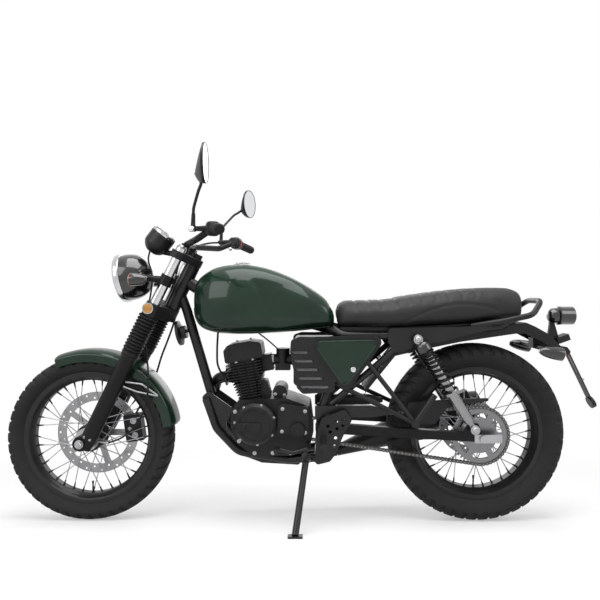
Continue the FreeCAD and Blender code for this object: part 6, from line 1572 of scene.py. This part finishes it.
def strip_clip():
    """The clip with its screw on the number plate's strip."""
    clip = bar([1.057, -0.0205, 0.4915], [1.057, 0.0205, 0.4915], 0.0034, 14)
    return joined([clip, bolt((1.059, 0.0, 0.4922), (0.9, 0.0, 0.43), 0.0042, 0.004)])


def axle_nut(hub, y, radius):
    """A flanged hexagon nut on the axle's end: six flats come from a lathe of six sides."""
    out = (0, math.copysign(1.0, y), 0)
    at = hub + np.array([0.0, y, 0.0])
    washer = lathe(
        [
            (0.0, radius * 0.5), (0.0, radius * 1.25), (0.0022, radius * 1.25), (0.0026, radius * 1.2),
            (0.0026, radius * 0.5),
        ],
        at, out, 40,
    )
    nut = lathe(
        [
            (0.002, radius), (0.0095, radius), (0.0112, radius * 0.86), (0.0112, radius * 0.62),
            (0.0128, radius * 0.58), (0.0128, radius * 0.05),
        ],
        at, out, 6,
    )
    return joined([washer, nut])


class MOTORCYCLE_OT_details(bpy.types.Operator):
    """Screws, seals, caps and locks on the fork, the front mudguard, the panels and the plate's strip"""

    bl_idname = "motorcycle.details"
    bl_label = "Details"

    def execute(self, context):
        seals, caps = fork_details()
        add_pieces(
            "fork",
            ("fork_seals", both(seals), "black_casting"),
            ("fork_caps", both(caps), "damper_grey"),
            ("leg_screws", both(leg_screws()), "bright_steel"),
        )
        screws, lock = panel_trim()
        add_piece("chassis", "panel_screws", both(screws), "dark_steel")
        bridge, nuts = mudguard_bridge()
        add_pieces(
            "fork",
            ("front_mudguard_shell", mudguard_shell(), "green_paint", "front_mudguard"),
            ("mudguard_bridge", bridge, "satin_black"),
            ("mudguard_nuts", nuts, "bright_steel"),
            ("mudguard_wires", both(guard_wire()), "bright_steel"),
        )
        nuts = both(axle_nut(FRONT_HUB, 0.1155, 0.0118))
        add_piece("fork", "front_axle_nuts", nuts, "bright_steel", sharp=25)
        add_piece("fork", "front_caliper_screws", caliper_screws(), "bright_steel")
        add_pieces(
            "chassis",
            ("panel_lock", lock, "chrome"),
            ("panel_edges", both(panel_edge()), "green_paint"),
            ("strip_clip", strip_clip(), "bright_steel"),
            ("slot_mesh", both(slot_mesh()), "bright_steel"),
        )
        return {"FINISHED"}


# Stage


def seen_rays(tree):
    """One for rays that show the surroundings: straight to the lens, mirrored or through glass."""
    rays = tree.nodes.new("ShaderNodeLightPath")
    last = rays.outputs["Is Camera Ray"]
    for name in ("Is Glossy Ray", "Is Transmission Ray"):
        more = tree.nodes.new("ShaderNodeMath")
        more.operation = "MAXIMUM"
        tree.links.new(last, more.inputs[0])
        tree.links.new(rays.outputs[name], more.inputs[1])
        last = more.outputs[0]
    return last


def floor_white():
    """White paper: it takes the machine's shadow, and to the lens it shows as bright as the backdrop."""
    g = Graph("floor_white")
    grain = g.ramp(g.noise(40.0, 3.0), (0.2, 0.8))
    paper = g.node("ShaderNodeBsdfDiffuse", None, {"Color": g.mix(grain, (0.92, 0.92, 0.92), (0.94, 0.94, 0.94))})
    glow = g.node("ShaderNodeEmission", None, {"Color": (1.0, 1.0, 1.0, 1.0)})
    g.tree.links.new(seen_rays(g.tree), glow.socket.node.inputs["Strength"])
    span = g.node("ShaderNodeVectorMath", {"operation": "LENGTH"}, {0: g.place()}, out="Value")
    share = g.ramp(span, (1.1, 2.6)) * 0.6 + 0.4
    dim = g.node("ShaderNodeMixShader", None, {0: share, 1: paper, 2: glow})
    g.tree.links.new(dim.socket, g.output.inputs["Surface"])
    return g.material


class MOTORCYCLE_OT_stage(bpy.types.Operator):
    """Floor, backdrop, light and camera"""

    bl_idname = "motorcycle.stage"
    bl_label = "Stage"

    def execute(self, context):
        look = context.scene.motorcycle_look
        mesh = bpy.data.meshes.new("floor")
        mesh.from_pydata([(x, y, 0.0) for x in (-30.0, 30.0) for y in (-30.0, 30.0)], [], [(0, 2, 3, 1)])
        obj = bpy.data.objects.new("floor", mesh)
        obj.data.materials.append(floor_white())
        context.scene.collection.objects.link(obj)

        world = bpy.data.worlds.new("studio")
        context.scene.world = world
        world.use_nodes = True
        tree = world.node_tree
        tree.nodes.clear()
        out = tree.nodes.new("ShaderNodeOutputWorld")
        soft = tree.nodes.new("ShaderNodeBackground")
        soft.inputs["Strength"].default_value = look.ambient
        white = tree.nodes.new("ShaderNodeBackground")
        white.inputs["Strength"].default_value = 1.0
        for background in (soft, white):
            background.inputs["Color"].default_value = (1.0, 1.0, 1.0, 1.0)
        mixer = tree.nodes.new("ShaderNodeMixShader")
        tree.links.new(seen_rays(tree), mixer.inputs[0])
        tree.links.new(soft.outputs[0], mixer.inputs[1])
        tree.links.new(white.outputs[0], mixer.inputs[2])
        tree.links.new(mixer.outputs[0], out.inputs[0])

        for name, place, size, power in (
            ("top_light", (0.1, -0.8, 2.9), 2.4, 88.0),
            ("front_light", (-2.3, -2.5, 1.9), 2.2, 52.0),
            ("rear_light", (2.8, -1.6, 1.9), 1.4, 22.0),
            ("far_light", (0.2, 2.8, 2.2), 2.2, 30.0),
        ):
            lamp = bpy.data.lights.new(name, "AREA")
            lamp.shape = "SQUARE"
            lamp.size = size
            lamp.energy = power
            light = bpy.data.objects.new(name, lamp)
            light.location = place
            aim = np.array([0.0, 0.0, 0.5]) - np.array(place)
            light.rotation_euler = (math.atan2(math.hypot(aim[0], aim[1]), -aim[2]), 0.0, math.atan2(-aim[0], aim[1]))
            context.scene.collection.objects.link(light)

        # The photograph's camera, 539 pixels of focal length in a picture 600 pixels wide. The machine's
        # picture lies off the middle by 14 and 7.5 pixels.
        camera = bpy.data.cameras.new("camera")
        camera.sensor_width = 36.0
        camera.lens = 32.34
        camera.shift_x = -0.02333
        camera.shift_y = -0.0125
        view = bpy.data.objects.new("camera", camera)
        view.location = placed([[0.11, -look.distance, 0.797]])[0]
        view.rotation_euler = (math.pi / 2 + LEAN, 0.0, 0.0)
        context.scene.collection.objects.link(view)
        context.scene.camera = view
        context.scene.view_settings.view_transform = "Standard"
        return {"FINISHED"}


class MOTORCYCLE_PT_panel(bpy.types.Panel):
    """Buttons for each group of pieces"""

    bl_label = "Motorcycle"
    bl_idname = "MOTORCYCLE_PT_panel"
    bl_space_type = "VIEW_3D"
    bl_region_type = "UI"
    bl_category = "Motorcycle"

    def draw(self, context):
        look = context.scene.motorcycle_look
        for name in ("paint", "black", "distance", "ambient"):
            self.layout.prop(look, name)
        for operator in OPERATORS:
            self.layout.operator(operator.bl_idname)


OPERATORS = (
    MOTORCYCLE_OT_finishes, MOTORCYCLE_OT_wheels, MOTORCYCLE_OT_tank, MOTORCYCLE_OT_seat, MOTORCYCLE_OT_fork,
    MOTORCYCLE_OT_lamps, MOTORCYCLE_OT_mirrors, MOTORCYCLE_OT_shocks, MOTORCYCLE_OT_chain, MOTORCYCLE_OT_engine,
    MOTORCYCLE_OT_controls, MOTORCYCLE_OT_details, MOTORCYCLE_OT_stage,
)
CLASSES = (MotorcycleLook, *OPERATORS, MOTORCYCLE_PT_panel)


def register():
    for cls in CLASSES:
        bpy.utils.register_class(cls)
    bpy.types.Scene.motorcycle_look = bpy.props.PointerProperty(type=MotorcycleLook)


def unregister():
    del bpy.types.Scene.motorcycle_look
    for cls in reversed(CLASSES):
        bpy.utils.unregister_class(cls)


def main():
    """Registers the add-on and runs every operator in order."""
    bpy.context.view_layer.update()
    register()
    for operator in OPERATORS:
        group, name = operator.bl_idname.split(".")
        getattr(getattr(bpy.ops, group), name)()
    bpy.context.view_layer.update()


if __name__ == "__main__":
    main()
